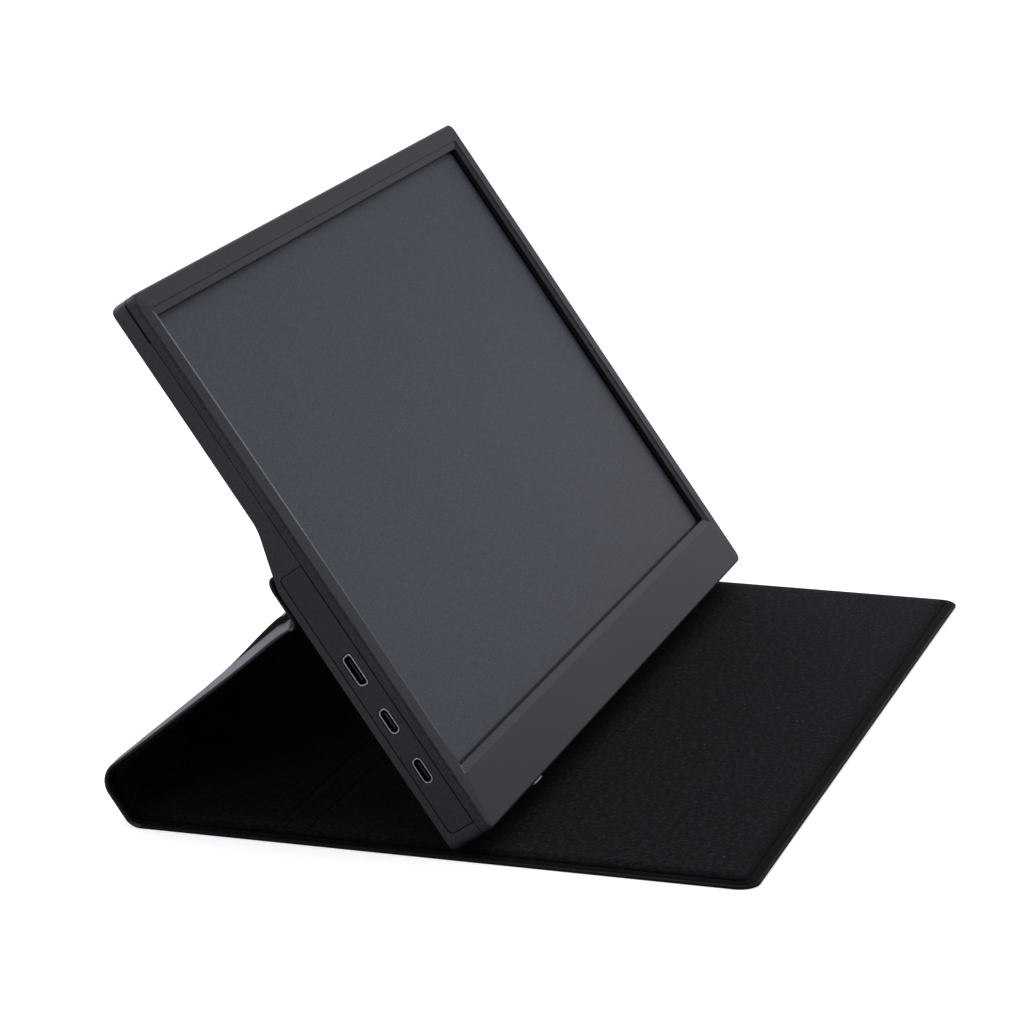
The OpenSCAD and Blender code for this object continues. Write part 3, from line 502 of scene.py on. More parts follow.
def screen_surface():
    """Matt polarizer over the picture area, black border round it."""
    finish, tree, shader = new_finish("matt_screen", Roughness=0.55, Specular_IOR_Level=0.50)
    place = add(tree, "ShaderNodeTexCoord")
    stand = {"Location": face_foot, "Rotation": (TILT, 0, 0)}
    turn = add(tree, "ShaderNodeMapping", stand, vector_type="TEXTURE")
    across = add(tree, "ShaderNodeSeparateXYZ")
    join(tree, [(place, "Object", turn, "Vector"), (turn, "Vector", across, "Vector")])
    middle, half_h = (ACTIVE_TOP + ACTIVE_BOTTOM) / 2, (ACTIVE_TOP - ACTIVE_BOTTOM) / 2
    inside = []
    for axis, centre, half in (("X", 0.0, ACTIVE_W / 2), ("Y", middle, half_h)):
        shift = add_math(tree, "SUBTRACT", {1: centre})
        size = add_math(tree, "ABSOLUTE")
        test = add_math(tree, "LESS_THAN", {1: half})
        join(tree, [(across, axis, shift, 0), (shift, 0, size, 0), (size, 0, test, 0)])
        inside.append(test)
    both = add_math(tree, "MULTIPLY")
    join(tree, [(inside[0], 0, both, 0), (inside[1], 0, both, 1)])
    mix = add_mix(tree, (0.002, 0.002, 0.0022))
    texture = place_group(tree, MOULDED_GRAIN, Scale=1400.0)
    dark, light = (0.047, 0.051, 0.066), (0.089, 0.097, 0.122)
    grain = tone_between(tree, texture, "Height", dark, light, shader, 0.40, 0.60)
    join(tree, [
        (grain, "Result", mix, "B"), (both, 0, mix, "Factor"),
        (mix, "Result", shader, "Base Color"),
    ])
    bump_from(tree, texture, 0.006 * MM, shader)
    return finish


FRAME_PLASTIC = plastic(
    "frame_plastic", (0.0150, 0.0157, 0.0195), (0.0318, 0.0330, 0.0396), (0.45, 0.57),
    1500.0, 0.03 * MM, Specular_IOR_Level=0.47,
)
SHELL_PLASTIC = plastic(
    "shell_plastic", (0.0205, 0.0213, 0.0255), (0.0312, 0.0324, 0.0384), (0.42, 0.52),
    1500.0, 0.03 * MM,
)
PLATE_PLASTIC = plastic(
    "plate_plastic", (0.0160, 0.0172, 0.0205), (0.0240, 0.0256, 0.0300), (0.45, 0.55), 1700.0
)
KEY_PLASTIC = plastic("key_plastic", (0.010, 0.0105, 0.012), (0.015, 0.016, 0.018), (0.35, 0.45))
# Near-black foam, for the foam gasket and, on the window's wall, as painted shade of the recess
FOAM_AND_RECESS_SHADE = plastic(
    "foam_and_recess_shade", (0.001, 0.001, 0.001), (0.002, 0.002, 0.002), (0.9, 0.95), 1400.0
)
SOCKET_METAL = metal("socket_metal", (0.46, 0.48, 0.50), (0.60, 0.62, 0.64))
ZINC_METAL = metal("zinc_metal", (0.45, 0.46, 0.47), (0.62, 0.63, 0.64))
GOLD_CONTACT = metal("gold_contact", (0.60, 0.42, 0.14), (0.78, 0.57, 0.22))
# Black plastic of the chips; on the plates' sides and the shell's pockets round them it is painted
# shade of the gaps
BLACK_PLASTIC_AND_GAP_SHADE = plastic(
    "black_plastic_and_gap_shade", (0.004, 0.004, 0.004), (0.008, 0.008, 0.008), (0.35, 0.45)
)
CLEAR_PLASTIC = plastic("light_plastic", (0.72, 0.74, 0.76), (0.86, 0.88, 0.90), (0.2, 0.3))
LIP_PLASTIC = plastic(
    "lip_plastic", (0.0185, 0.0192, 0.0235), (0.0285, 0.0295, 0.0355), (0.12, 0.16),
    2200.0, 0.004 * MM,
)
LINT = plastic("lint", (0.10, 0.10, 0.10), (0.22, 0.22, 0.22), (0.8, 0.9))
GREY_BOARD = plastic("grey_board", (0.20, 0.16, 0.11), (0.30, 0.24, 0.17), (0.8, 0.9), 900.0)
HIDE = hide("cover_hide", (0.0040, 0.0042, 0.0042), (0.0070, 0.0073, 0.0072))
# Painted shade: rougher, less glossy hide in darker tones, round the base's edge and on the rear
# panel's step
DULL_SHADED_HIDE = hide(
    "dull_shaded_hide", (0.0025, 0.0027, 0.0027), (0.0045, 0.0048, 0.0047), (0.65, 0.75), 0.2
)
LINING = nap_cloth(
    "cover_nap", (0.0001, 0.0002, 0.0005), (0.0145, 0.0153, 0.0192), (0.028, 0.029, 0.033)
)
SCREEN = screen_surface()

# Painted shade: the socket metal darkens inside the mouths
paint_socket_shade(SOCKET_METAL, mouth=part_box("hdmi_socket")[0].x + 0.15 * MM, depth=0.5 * MM)

# Finish of each material slot of the part
NODE_FINISH = {
    "stiffener": GREY_BOARD,
    "flap_steel": ZINC_METAL,
    "foam": FOAM_AND_RECESS_SHADE,
    "screen": SCREEN,
    "light_plastic": CLEAR_PLASTIC,
    "led": CLEAR_PLASTIC,
    "tray_metal": metal("tray_metal", (0.45, 0.46, 0.47), (0.60, 0.61, 0.62), (0.35, 0.5)),
    "circuit_board": plastic(
        "board_green", (0.008, 0.045, 0.022), (0.015, 0.085, 0.040), (0.25, 0.35)
    ),
    "flex": plastic("film_amber", (0.32, 0.12, 0.02), (0.45, 0.20, 0.04), (0.2, 0.3)),
    "ribbon": plastic("ribbon_white", (0.55, 0.55, 0.54), (0.68, 0.68, 0.67), (0.35, 0.45)),
    "chip_black": BLACK_PLASTIC_AND_GAP_SHADE,
    "socket_metal": SOCKET_METAL,
    "screw_black": metal("screw_metal", (0.03, 0.03, 0.032), (0.05, 0.05, 0.052), (0.35, 0.45)),
    "screw_steel": ZINC_METAL,
    "magnet": ZINC_METAL,
    "cover_leather": HIDE,
    "lining": LINING,
    "frame_plastic": FRAME_PLASTIC,
    "shell_plastic": SHELL_PLASTIC,
    "key_plastic": KEY_PLASTIC,
}

for entry in frame["record"]["subparts"]:
    node = frame["nodes"][entry["node"]]
    node.data.materials.clear()
    node.data.materials.append(NODE_FINISH[entry["material_slot"]])


# ---- the housing ----
def rounded_ring(left, right, low, high, radius, per_corner=8, per_side=24):
    """Points of a rectangle with round corners, counter-clockwise from its lower right corner."""
    ring = []
    corners = [
        (right - radius, low + radius, -90),
        (right - radius, high - radius, 0),
        (left + radius, high - radius, 90),
        (left + radius, low + radius, 180),
    ]
    for index, (cx, cy, start) in enumerate(corners):
        for step in range(per_corner + 1):
            turn = math.radians(start + 90 * step / per_corner)
            ring.append(Vector((cx + radius * math.cos(turn), cy + radius * math.sin(turn))))
        nx, ny, following = corners[(index + 1) % 4]
        turn = math.radians(following)
        last = ring[-1]
        goal = Vector((nx + radius * math.cos(turn), ny + radius * math.sin(turn)))
        for step in range(1, per_side):
            ring.append(last.lerp(goal, step / per_side))
    return ring


def frame_sections():
    """Each ring's inset from the outer edge, its inset at the chin, its depth and its radius."""
    inner = EDGE_R + 0.1 * MM
    rows = [
        (SEAM_BEVEL, SEAM_BEVEL, FRAME_SIDE, CORNER_R),
        (0, 0, FRAME_SIDE - SEAM_BEVEL, CORNER_R),
    ]
    for step in range(7):
        turn = math.radians(90 * step / 6)
        inset = EDGE_R * (1 - math.cos(turn))
        rows.append((inset, inset, EDGE_R * (1 - math.sin(turn)), CORNER_R - inset))
    slope = (LIP_DROP - LIP_EDGE) / (LIP_W - LIP_EDGE)
    rows.append((inner, inner, 0, CORNER_R - inner))
    for reach, drop in (
        (-0.3 * MM, 0),
        (-0.12 * MM, 0),
        (0.02 * MM, 0.05 * MM),
        (LIP_EDGE - 0.06 * MM, LIP_EDGE - 0.08 * MM),
        (LIP_EDGE + 0.14 * MM, LIP_EDGE + 0.14 * MM * slope),
        (LIP_W - 0.22 * MM, LIP_DROP - 0.22 * MM * slope),
        (LIP_W - 0.06 * MM, LIP_DROP + 0.02 * MM),
        (LIP_W, LIP_DROP + 0.18 * MM),
    ):
        rows.append((RIM_W + reach, CHIN_TOP + reach, drop, 0.4 * MM))
    return rows + [
        (RIM_W + LIP_W, CHIN_TOP + LIP_W, LIP_BACK, 0.3 * MM),
        (SKIRT_W, SKIRT_W, LIP_BACK, 1.2 * MM),
        (SKIRT_W, SKIRT_W, FRAME_SIDE, 1.2 * MM),
    ]


def make_front_frame():
    """The front frame as one closed ring; the window's wall below the lip takes the black foam's
    finish, for the gasket's black and as painted shade deep in the recess.
    """
    verts, faces = [], []
    sections = frame_sections()
    for inset, chin_inset, depth, radius in sections:
        ring = rounded_ring(
            -MON_W / 2 + inset, MON_W / 2 - inset, chin_inset, MON_H - inset, max(radius, 0.2 * MM)
        )
        lip = RIM_W - 1 * MM < inset < RIM_W + LIP_W + 1 * MM
        for point in ring:
            bow = fall = 0
            if lip and point.x < -MON_W / 2 + 2 * inset:
                share = (point.y - MON_H / 2) / (MON_H / 2)
                bow = LIP_BOW * max(0, 1 - share * share)
            if depth < FRAME_SIDE / 2:
                fall = LEFT_FALL * max(0, 1 - (point.x + MON_W / 2) / RIM_W)
            level = depth
            if CHIN_TOP < chin_inset < CHIN_TOP + LIP_W and point.y < chin_inset + radius:
                level = (chin_inset - CHIN_TOP) * LIP_DROP / LIP_W
            verts.append(MONITOR @ Vector((point.x + bow, point.y, -(level + fall))))
    count, total = len(ring), len(sections)
    for row in range(total):
        here, there = row * count, (row + 1) % total * count
        for step in range(count):
            after = (step + 1) % count
            faces.append((here + step, here + after, there + after, there + step))
    piece = piece_from("front_frame_finished", verts, faces, FRAME_PLASTIC)
    piece.data.materials.append(FOAM_AND_RECESS_SHADE)
    piece.data.materials.append(LIP_PLASTIC)
    # The last rows are the window's wall, the frame's back and its skirt; the lip lies before them.
    # The wall is painted near black: the gasket's black, and painted shade of the recess
    wall_row = total - 4
    for index, face in enumerate(piece.data.polygons):
        if index // count == wall_row:
            face.material_index = 1
        elif wall_row - 4 <= index // count < wall_row and face.normal.x > 0.1:
            face.material_index = 2
    smooth(piece, 40)
    keep_flats(piece)
    settle(piece)
    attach(piece, "monitor")
    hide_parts("front_frame")


make_front_frame()
shell = refined("rear_shell", SHELL_PLASTIC, 0.5 * MM, 3)
# The shell's pockets round the plates and the plates' sides are painted near black, as shade in the
# gaps
for plate in ("port_plate", "key_plate"):
    shade_pocket_walls(shell, plate, BLACK_PLASTIC_AND_GAP_SHADE, 0.7 * MM)
refined("port_plate", PLATE_PLASTIC, 0.36 * MM, sides=BLACK_PLASTIC_AND_GAP_SHADE, clamp=False)
refined("key_plate", PLATE_PLASTIC, 0.22 * MM, sides=BLACK_PLASTIC_AND_GAP_SHADE)
for key in ("power_button", "menu_rocker"):
    refined(key, KEY_PLASTIC, 0.2 * MM, body=key)
for socket in ("hdmi_socket", "usb_c_socket_upper", "usb_c_socket_lower"):
    refined(socket, SOCKET_METAL, 0.1 * MM)


# ---- the cover: one strip of leather, board and lining that folds along its length ----
def heading(angle):
    """The strip's direction across Y and Z."""
    return Vector((math.cos(angle), math.sin(angle)))


def left_of(angle):
    """The direction square to the strip, on the lining's side."""
    return Vector((-math.sin(angle), math.cos(angle)))


base_hinge = Vector((base_front + BASE_D, COVER_T / 2))
spine_start = base_hinge + BASE_FOLD_R * Vector((math.sin(SPINE_A), 1 - math.cos(SPINE_A)))
top_centre = spine_start + SPINE_W * heading(SPINE_A) + TOP_FOLD_R * left_of(SPINE_A)
flap_corner = (
    face_foot.yz
    + (THICK_H - FOLD_DROP) * heading(TILT)
    - (THICK_T + FIT_GAP + FLAP_T / 2) * left_of(TILT)
)
to_flap = flap_corner - top_centre
REAR_A = math.atan2(to_flap.y, to_flap.x) + math.asin(TOP_FOLD_R / to_flap.length)
top_hinge = top_centre - TOP_FOLD_R * left_of(REAR_A)
flap_hinge = flap_corner - FLAP_FOLD_R * math.tan((REAR_A - TILT) / 2) * heading(REAR_A)
REAR_L = (flap_hinge - top_hinge).length

# Length and turn of each stretch of the strip, from the front edge to the flap's end
STRETCHES = [
    (BASE_D, 0),
    (BASE_FOLD_R * SPINE_A, SPINE_A),
    (SPINE_W, 0),
    (TOP_FOLD_R * (REAR_A - SPINE_A), REAR_A - SPINE_A),
    (REAR_L, 0),
    (FLAP_FOLD_R * (REAR_A - TILT), TILT - REAR_A),
    (FLAP_L + FLAP_T / 2, 0),
]
AT_SPINE = BASE_D + STRETCHES[1][0] + SPINE_W / 2
AT_TOP = BASE_D + STRETCHES[1][0] + SPINE_W + STRETCHES[3][0]
AT_REAR = AT_TOP + REAR_L / 2
AT_FLAP = AT_TOP + REAR_L
AT_END = sum(length for length, turn in STRETCHES)


def strip_point(along):
    """The point across Y and Z and the angle of the strip's middle line, by the distance along."""
    at, angle = Vector((base_front, COVER_T / 2)), 0.0
    for length, turn in STRETCHES:
        run = min(along, length)
        after = angle + turn * run / length
        if turn:
            radius = length / turn
            end = at + radius * left_of(angle) - radius * left_of(after)
        else:
            end = at + run * heading(angle)
        if along <= length:
            return end, after
        at, angle, along = end, after, along - length
    return at, angle


def step_up(value):
    """0 below 0 and 1 above 1, with a soft start and end."""
    value = min(max(value, 0), 1)
    return value * value * (3 - 2 * value)


def ramp(value, rounding=0.12):
    """A straight rise from 0 to 1 with a slightly rounded crest."""
    if value < 1 - rounding:
        return max(value, 0)
    if value > 1 + rounding:
        return 1
    return 1 - (1 + rounding - value) ** 2 / (4 * rounding)


def dip(value, width):
    """1 at 0, with a soft fall to both sides."""
    return math.exp(-((value / width) ** 2))


FOLD_LINES = (BASE_D - 2 * MM, AT_TOP + 3 * MM, AT_FLAP - 4 * MM)
GROOVES = (BASE_D - GROOVE_AT, BASE_D - GROOVE_AT + GROOVE_STEP)


class Layers:
    """Heights of the strip's surfaces from its middle line, at one place along it."""

    def __init__(self, along):
        flap = step_up((along - AT_FLAP + FLAP_FADE) / FLAP_FADE)
        self.rear = step_up((along - BASE_D) / (AT_TOP - BASE_D))
        self.half = (COVER_T + (FLAP_T - COVER_T) * flap) / 2
        self.edge = EDGE_THICKNESS + (FLAP_EDGE - EDGE_THICKNESS) * flap
        self.drop = BORDER_DROP * self.rear * (1 - 0.7 * flap)
        left = AT_FLAP - along
        near_fold = step_up((left + BULGE_START) / BULGE_RUN)
        self.rise = RISE * near_fold * (1 - step_up((left - RISE_FROM) / RISE_FADE))
        self.lift = LIFT * near_fold * (1 - step_up(left / LIFT_FADE))
        self.step = STEP * near_fold * (1 - step_up((left - STEP_FROM) / STEP_FADE))
        self.fold_lines = sum(dip(along - at, FOLD_LINE_W) for at in FOLD_LINES)
        self.grooves = sum(dip(along - at, GROOVE_W) for at in GROOVES)

    def bow(self, side):
        """How far the rear panel bellies out, by the distance from the nearer side."""
        return self.lift + self.rise * ramp(side / (STEP_AT - RISE_INSIDE))

    def border(self, inset):
        nose = self.edge / 2
        return ramp((inset - nose) / (EDGE_W - nose))

    def nose_gap(self, inset):
        """What the round nose takes off each face."""
        nose = self.edge / 2
        return nose - math.sqrt(max(nose * nose - (nose - inset) ** 2, 0)) if inset < nose else 0

    def outer(self, inset):
        low = -self.half + self.drop * (1 - self.border(inset))
        crease = CREASE_SHARE * dip(inset - STEP_AT, CREASE_W)
        wall = step_up((inset - STEP_AT) / STEP_W)
        fold_line = self.fold_lines * step_up((inset - FOLD_LINE_FROM) / FOLD_LINE_RUN)
        pressed = self.nose_gap(inset) + FOLD_LINE_DEPTH * fold_line
        return low + pressed + self.step * (crease - wall)

    def inner(self, inset):
        low = -self.half + self.drop + self.edge
        return low + (self.half - low) * self.border(inset)

    def hem(self, inset):
        """The leather on the lining's side: its turned-in hem, then its bare back."""
        if inset > HEM_W:
            return self.outer(inset) + LEATHER_T
        rounding = max(inset - HEM_W + HEM_ROUND, 0) / HEM_ROUND
        fall = HEM_FALL * (1 - math.sqrt(max(1 - rounding * rounding, 0)))
        stitches = STITCH_DEPTH * dip(inset - STITCH_AT, STITCH_W)
        return self.inner(inset) - self.nose_gap(inset) - fall - stitches

    def nap_top(self, inset):
        """The lining's face, with a rounded edge and the pressed grooves."""
        rounding = max(1 - (inset - LINING_INSET) / NAP_ROUND, 0)
        fall = (LINING_T - NAP_EDGE) * (1 - math.sqrt(max(1 - rounding * rounding, 0)))
        return self.inner(inset) - fall - GROOVE_DEPTH * self.grooves

    def nap_back(self, inset):
        if inset <= LINING_INSET + 0.001 * MM:
            return self.nap_top(inset)
        return self.inner(inset) - LINING_T

    def dull(self, inset):
        """Whether the leather is dull and painted darker as shade: round the base's edge, and on
        the rear panel's step.
        """
        if self.rear == 0:
            return inset < OVERLAY_FROM
        return self.step > 0.1 * STEP and STEP_AT - DULL_BEFORE < inset < STEP_AT + STEP_W

    def board_top(self, inset):
        return self.inner(inset) - LINING_T - LAYER_GAP

    def board_back(self, inset):
        return self.outer(inset) + LEATHER_T + LAYER_GAP


# Distances of a sheet's rows of points from its edge, in millimetres
LEATHER_STEPS = [
    0, 0.05, 0.18, 0.38, 0.62, 0.8, 0.9, 1.0, 1.1, 1.2, 1.8, 2.8, 3.4, 3.8, 4.05, 4.2, 4.27, 4.29,
    4.31, 4.6, 5, 6, 7.5, 8.4, 9, 9.4, 9.7, 9.9, 10.1, 10.35, 10.6, 10.85, 11.1, 11.4, 12, 14, 18,
    25, 35, 48, 62, 80, 100, 122, 150,
]
LINING_STEPS = [
    0, 0.04, 0.14, 0.32, 0.6, 1.0, 1.4, 2, 3, 3.9, 4.5, 5.1, 6, 7, 8, 9.5, 13.5,
    20, 30, 43, 58, 75, 95, 118, 145,
]
BOARD_STEPS = [
    0, 0.05, 0.2, 2, 3.4, 4.1, 4.4, 4.7, 5, 5.3, 5.7, 6.4, 9, 13, 20, 30, 43, 58, 75, 95, 118, 145,
]
# Rows near a free end reach this far, and rows near the flap's end this far
END_ROWS = 19
FLAP_ROWS = 8
# Row spacing on flat stretches, in bends, on the rear panel and close to the flap's fold
FLAT_GAP = 9 * MM
BEND_GAP = 0.55 * MM
PANEL_GAP = 4 * MM
FINE_GAP = 0.5 * MM
FINE_FROM, FINE_TO = 12 * MM, 2 * MM
LEAST_GAP = 0.02 * MM
# Distance from a free end where a sheet has none
NO_END = 1.0
GROOVE_ROWS = (-1.2, -0.8, -0.5, -0.25, 0, 0.25, 0.5, 0.8, 1.2)
FOLD_LINE_ROWS = (-3, -2, -1.2, -0.6, 0, 0.6, 1.2, 2, 3)


def rows_between(start, end, gap):
    count = max(1, math.ceil((end - start) / gap))
    return [start + (end - start) * n / count for n in range(count + 1)]


def strip_rows(start, end, inset, steps):
    """Places along the strip for a sheet's rows: close at free ends, folds and grooves."""
    marks = set()
    near = [step * MM for step in steps if step < END_ROWS]
    low = inset if start == 0 else start
    high = AT_END - inset if end == AT_END else end
    if start == 0:
        marks.update(low + step for step in near)
    if end == AT_END:
        marks.update(high - step for step in near if step < FLAP_ROWS * MM)
    marks.update(rows_between(END_ROWS * MM if start == 0 else start, high, FLAT_GAP))
    for bend_start, bend_end in (
        (BASE_D, AT_SPINE - SPINE_W / 2),
        (AT_SPINE + SPINE_W / 2, AT_TOP),
        (AT_FLAP, AT_END - STRETCHES[6][0]),
    ):
        marks.update(rows_between(bend_start, bend_end, BEND_GAP))
    marks.update(rows_between(AT_TOP, AT_FLAP, PANEL_GAP))
    marks.update(rows_between(AT_FLAP - FINE_FROM, AT_FLAP + FINE_TO, FINE_GAP))
    marks.update(at + shift * MM for at in GROOVES for shift in GROOVE_ROWS)
    marks.update(at + shift * MM for at in FOLD_LINES[:2] for shift in FOLD_LINE_ROWS)
    kept = []
    for mark in sorted(marks):
        if low - 1e-9 <= mark <= high + 1e-9 and (not kept or mark - kept[-1] > LEAST_GAP):
            kept.append(mark)
    kept[-1] = high
    return kept


def round_corner(across, along, radius):
    """Moves a point of a square corner's grid so that the grid follows the round corner."""
    if across >= radius or along >= radius:
        return across, along
    side, front = radius - across, radius - along
    reach = max(side, front)
    if reach < 1e-9:
        return across, along
    if side >= front:
        turn = math.pi / 4 * front / side
    else:
        turn = math.pi / 2 - math.pi / 4 * side / front
    return radius - reach * math.cos(turn), radius - reach * math.sin(turn)


def strip_sheet(
    name, start, end, inset, steps, face, back, finish, overlay=None, walled=False
):
    """A closed sheet along part of the strip.

    face and back name its surfaces, which meet at the sides unless the sheet is walled, and
    overlay is the finish of what lies on its hem."""
    half_w = COVER_W / 2 - inset
    radius = max((FRONT_R if start == 0 else COVER_R) - inset, 0.3 * MM)
    sides = [step * MM for step in steps if step * MM < half_w - 5 * MM]
    columns = [(-1, side) for side in sides] + [(1, half_w)]
    columns += [(1, side) for side in reversed(sides)]
    rows = strip_rows(start, end, inset, steps)
    verts, lay, depths = [], [], []
    for surface in (face, back):
        for along in rows:
            free = NO_END
            if start == 0:
                free = max(along - inset, 0)
            elif end == AT_END:
                free = max(AT_END - inset - along, 0)
            for sign, side in columns:
                across, near = round_corner(side, free, radius)
                moved = along
                if start == 0:
                    moved = inset + near
                elif end == AT_END:
                    moved = AT_END - inset - near
                depth = inset + min(side, free)
                layers = Layers(moved)
                point, angle = strip_point(moved)
                height = getattr(layers, surface)(depth) - layers.bow(inset + across)
                point = point + left_of(angle) * height
                x = sign * (half_w - across)
                verts.append((x, point.x, point.y))
                lay.append((x, moved))
                depths.append(depth)
    width, count = len(columns), len(rows) * len(columns)
    faces = []
    for row in range(len(rows) - 1):
        for column in range(width - 1):
            a = row * width + column
            quad = (a, a + 1, a + 1 + width, a + width)
            faces.append(quad)
            faces.append(tuple(count + v for v in reversed(quad)))
    last = (len(rows) - 1) * width
    for column in range(width - 1):
        faces.append((count + column, count + column + 1, column + 1, column))
        a = last + column
        faces.append((a, a + 1, count + a + 1, count + a))
    if walled:
        for row in range(len(rows) - 1):
            a, b = row * width, row * width + width - 1
            faces.append((a, a + width, count + a + width, count + a))
            faces.append((b + width, b, count + b, count + b + width))
    piece = piece_from(name, verts, faces, finish)
    mesh = piece.data
    if overlay:
        mesh.materials.append(overlay)
        mesh.materials.append(DULL_SHADED_HIDE)
        # Faces and backs take turns in the list of polygons, then come the ends
        ends_from = 2 * (len(rows) - 1) * (width - 1)
        for index, polygon in enumerate(mesh.polygons):
            depth = min(depths[v] for v in polygon.vertices)
            if index % 2 == 0 and index < ends_from and depth > OVERLAY_FROM - 1e-6:
                polygon.material_index = 1
            else:
                # Other faces take the dull hide, painted darker as shade, where the leather is dull
                middle = sum(depths[v] for v in polygon.vertices) / 4
                along = sum(lay[v][1] for v in polygon.vertices) / 4
                polygon.material_index = 2 * int(Layers(along).dull(middle))
    mesh.uv_layers.new(name="lay")
    edge = mesh.uv_layers.new(name="edge")
    layer = mesh.uv_layers["lay"]
    for loop in mesh.loops:
        layer.data[loop.index].uv = lay[loop.vertex_index]
        edge.data[loop.index].uv = (depths[loop.vertex_index], 0)
    shape = bmesh.new()
    shape.from_mesh(mesh)
    bmesh.ops.remove_doubles(shape, verts=shape.verts, dist=1e-7)
    bmesh.ops.dissolve_degenerate(shape, edges=shape.edges, dist=1e-8)
    shape.to_mesh(mesh)
    shape.free()
    return smooth(piece, 50)


def across_fold(hinge, angle, before, after):
    """Start and end of the bend at a fold."""
    return [Vector((0, *(hinge + reach * heading(angle)))) for reach in (-before, after)]


# Each part of the strip: name, where it starts and ends, the bodies it joins, where it bends,
# and the nodes' names that it stands for
STRIP_PARTS = [
    (
        "front", 0, AT_SPINE, ("base", "spine"),
        across_fold(base_hinge, 0, 3 * MM, 6 * MM), ("base",),
    ),
    (
        "spine", AT_SPINE, AT_REAR, ("spine", "rear_panel"),
        across_fold(top_hinge, REAR_A, 6 * MM, 4 * MM), ("spine",),
    ),
    (
        "flap", AT_REAR, AT_END, ("rear_panel", "monitor"),
        across_fold(flap_hinge, REAR_A, 3.5 * MM, 3 * MM), ("rear", "flap"),
    ),
]


def make_cover():
    """Leather and lining of the whole strip, and the rear panel's bowed board."""
    for part, start, end, bodies, bend, nodes in STRIP_PARTS:
        leather = strip_sheet(
            "leather_" + part, start, end, 0, LEATHER_STEPS,
            "hem", "outer", HIDE, LINING,
        )
        lining = strip_sheet(
            "lining_" + part, start, end, LINING_INSET, LINING_STEPS,
            "nap_top", "nap_back", LINING,
        )
        for piece in (leather, lining):
            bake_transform(piece)
        for node in nodes:
            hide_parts(node + "_leather")
            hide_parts(node + "_lining")
    board = strip_sheet(
        "board_rear", AT_TOP + BOARD_ENDS[0], AT_FLAP - BOARD_ENDS[1], BOARD_INSET, BOARD_STEPS,
        "board_top", "board_back", GREY_BOARD, walled=True,
    )
    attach(board, "rear_panel")
    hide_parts("rear_board")


make_cover()


# ---- what repeats: contacts in the sockets, lint on the lining ----
def growth(name, **inputs):
    """An empty geometry group with named inputs of given kinds, and its two end nodes."""
    return new_group(name, "GeometryNodeTree", inputs, {"Geometry": "Geometry"})


def made_solid(group, given, out, last, output):
    """Ends a geometry group: makes its instances real and gives them their finish."""
    solid = add(group, "GeometryNodeRealizeInstances")
    dressed = add(group, "GeometryNodeSetMaterial")
    join(group, [
        (last, output, solid, "Geometry"), (solid, "Geometry", dressed, "Geometry"),
        (given, "Finish", dressed, "Material"), (dressed, "Geometry", out, "Geometry"),
    ])
    return group


def make_contact_rows():
    """Two rows of flat contacts, one on each face of a tongue."""
    group, given, out = growth(
        "contact_rows", Count="Int", Pitch="Float", Size="Vector", Gap="Float", Finish="Material"
    )
    step = add(group, "ShaderNodeCombineXYZ")
    line = add(group, "GeometryNodeMeshLine")
    block = add(group, "GeometryNodeMeshCube")
    row = add(group, "GeometryNodeInstanceOnPoints")
    shift = add(group, "ShaderNodeCombineXYZ")
    other = add(group, "GeometryNodeTransform")
    both = add(group, "GeometryNodeJoinGeometry")
    join(group, [
        (given, "Pitch", step, "Y"), (given, "Count", line, "Count"),
        (step, "Vector", line, "Offset"), (given, "Size", block, "Size"),
        (line, "Mesh", row, "Points"), (block, "Mesh", row, "Instance"),
        (given, "Gap", shift, "Z"), (row, "Instances", other, "Geometry"),
        (shift, "Vector", other, "Translation"), (row, "Instances", both, "Geometry"),
        (other, "Geometry", both, "Geometry"),
    ])
    return made_solid(group, given, out, both, "Geometry")


def make_lint():
    """Short bent fibres strewn over a surface."""
    group, given, out = growth(
        "lint", Area="Geometry", Density="Float", Seed="Int", Length="Float", Finish="Material"
    )
    points = add(group, "GeometryNodeDistributePointsOnFaces")
    bent = {"Start": (-0.5, 0, 0), "Middle": (0.05, 0.55, 0.2), "End": (0.5, 0, 0.05)}
    fibre = add(group, "GeometryNodeCurveQuadraticBezier", {"Resolution": 5, **bent})
    ring = add(group, "GeometryNodeCurvePrimitiveCircle", {"Resolution": 4, "Radius": 0.07})
    thread = add(group, "GeometryNodeCurveToMesh", {"Fill Caps": True})
    any_way = {"Min": (-0.2, -0.2, 0), "Max": (0.2, 0.2, 6.28)}
    turn = add(group, "FunctionNodeRandomValue", any_way, data_type="FLOAT_VECTOR")
    share = add(group, "FunctionNodeRandomValue", {2: 0.4, 3: 1.3}, data_type="FLOAT")
    size = add_math(group, "MULTIPLY")
    strewn = add(group, "GeometryNodeInstanceOnPoints")
    join(group, [(given, "Area", points, "Mesh"), (given, "Density", points, "Density")])
    for node in (points, turn, share):
        join(group, [(given, "Seed", node, "Seed")])
    join(group, [
        (fibre, "Curve", thread, "Curve"), (ring, "Curve", thread, "Profile Curve"),
        (share, 1, size, 0), (given, "Length", size, 1), (points, "Points", strewn, "Points"),
        (thread, "Mesh", strewn, "Instance"), (turn, "Value", strewn, "Rotation"),
        (size, 0, strewn, "Scale"),
    ])
    return made_solid(group, given, out, strewn, "Instances")


def grown(piece, group, **values):
    """Runs a geometry group on a piece and keeps the plain mesh."""
    modifier = piece.modifiers.new("growth", "NODES")
    modifier.node_group = group
    for item in group.interface.items_tree:
        if item.in_out == "INPUT" and item.name in values:
            modifier[item.identifier] = values[item.name]
    return settle(piece)


CONTACT_L = 4.4 * MM
CONTACT_T = 0.04 * MM
# Middle of the contacts across the monitor, and their tongues' depth behind its face
CONTACTS_AT = -180.2 * MM
TONGUE_DEPTH = 9.7 * MM
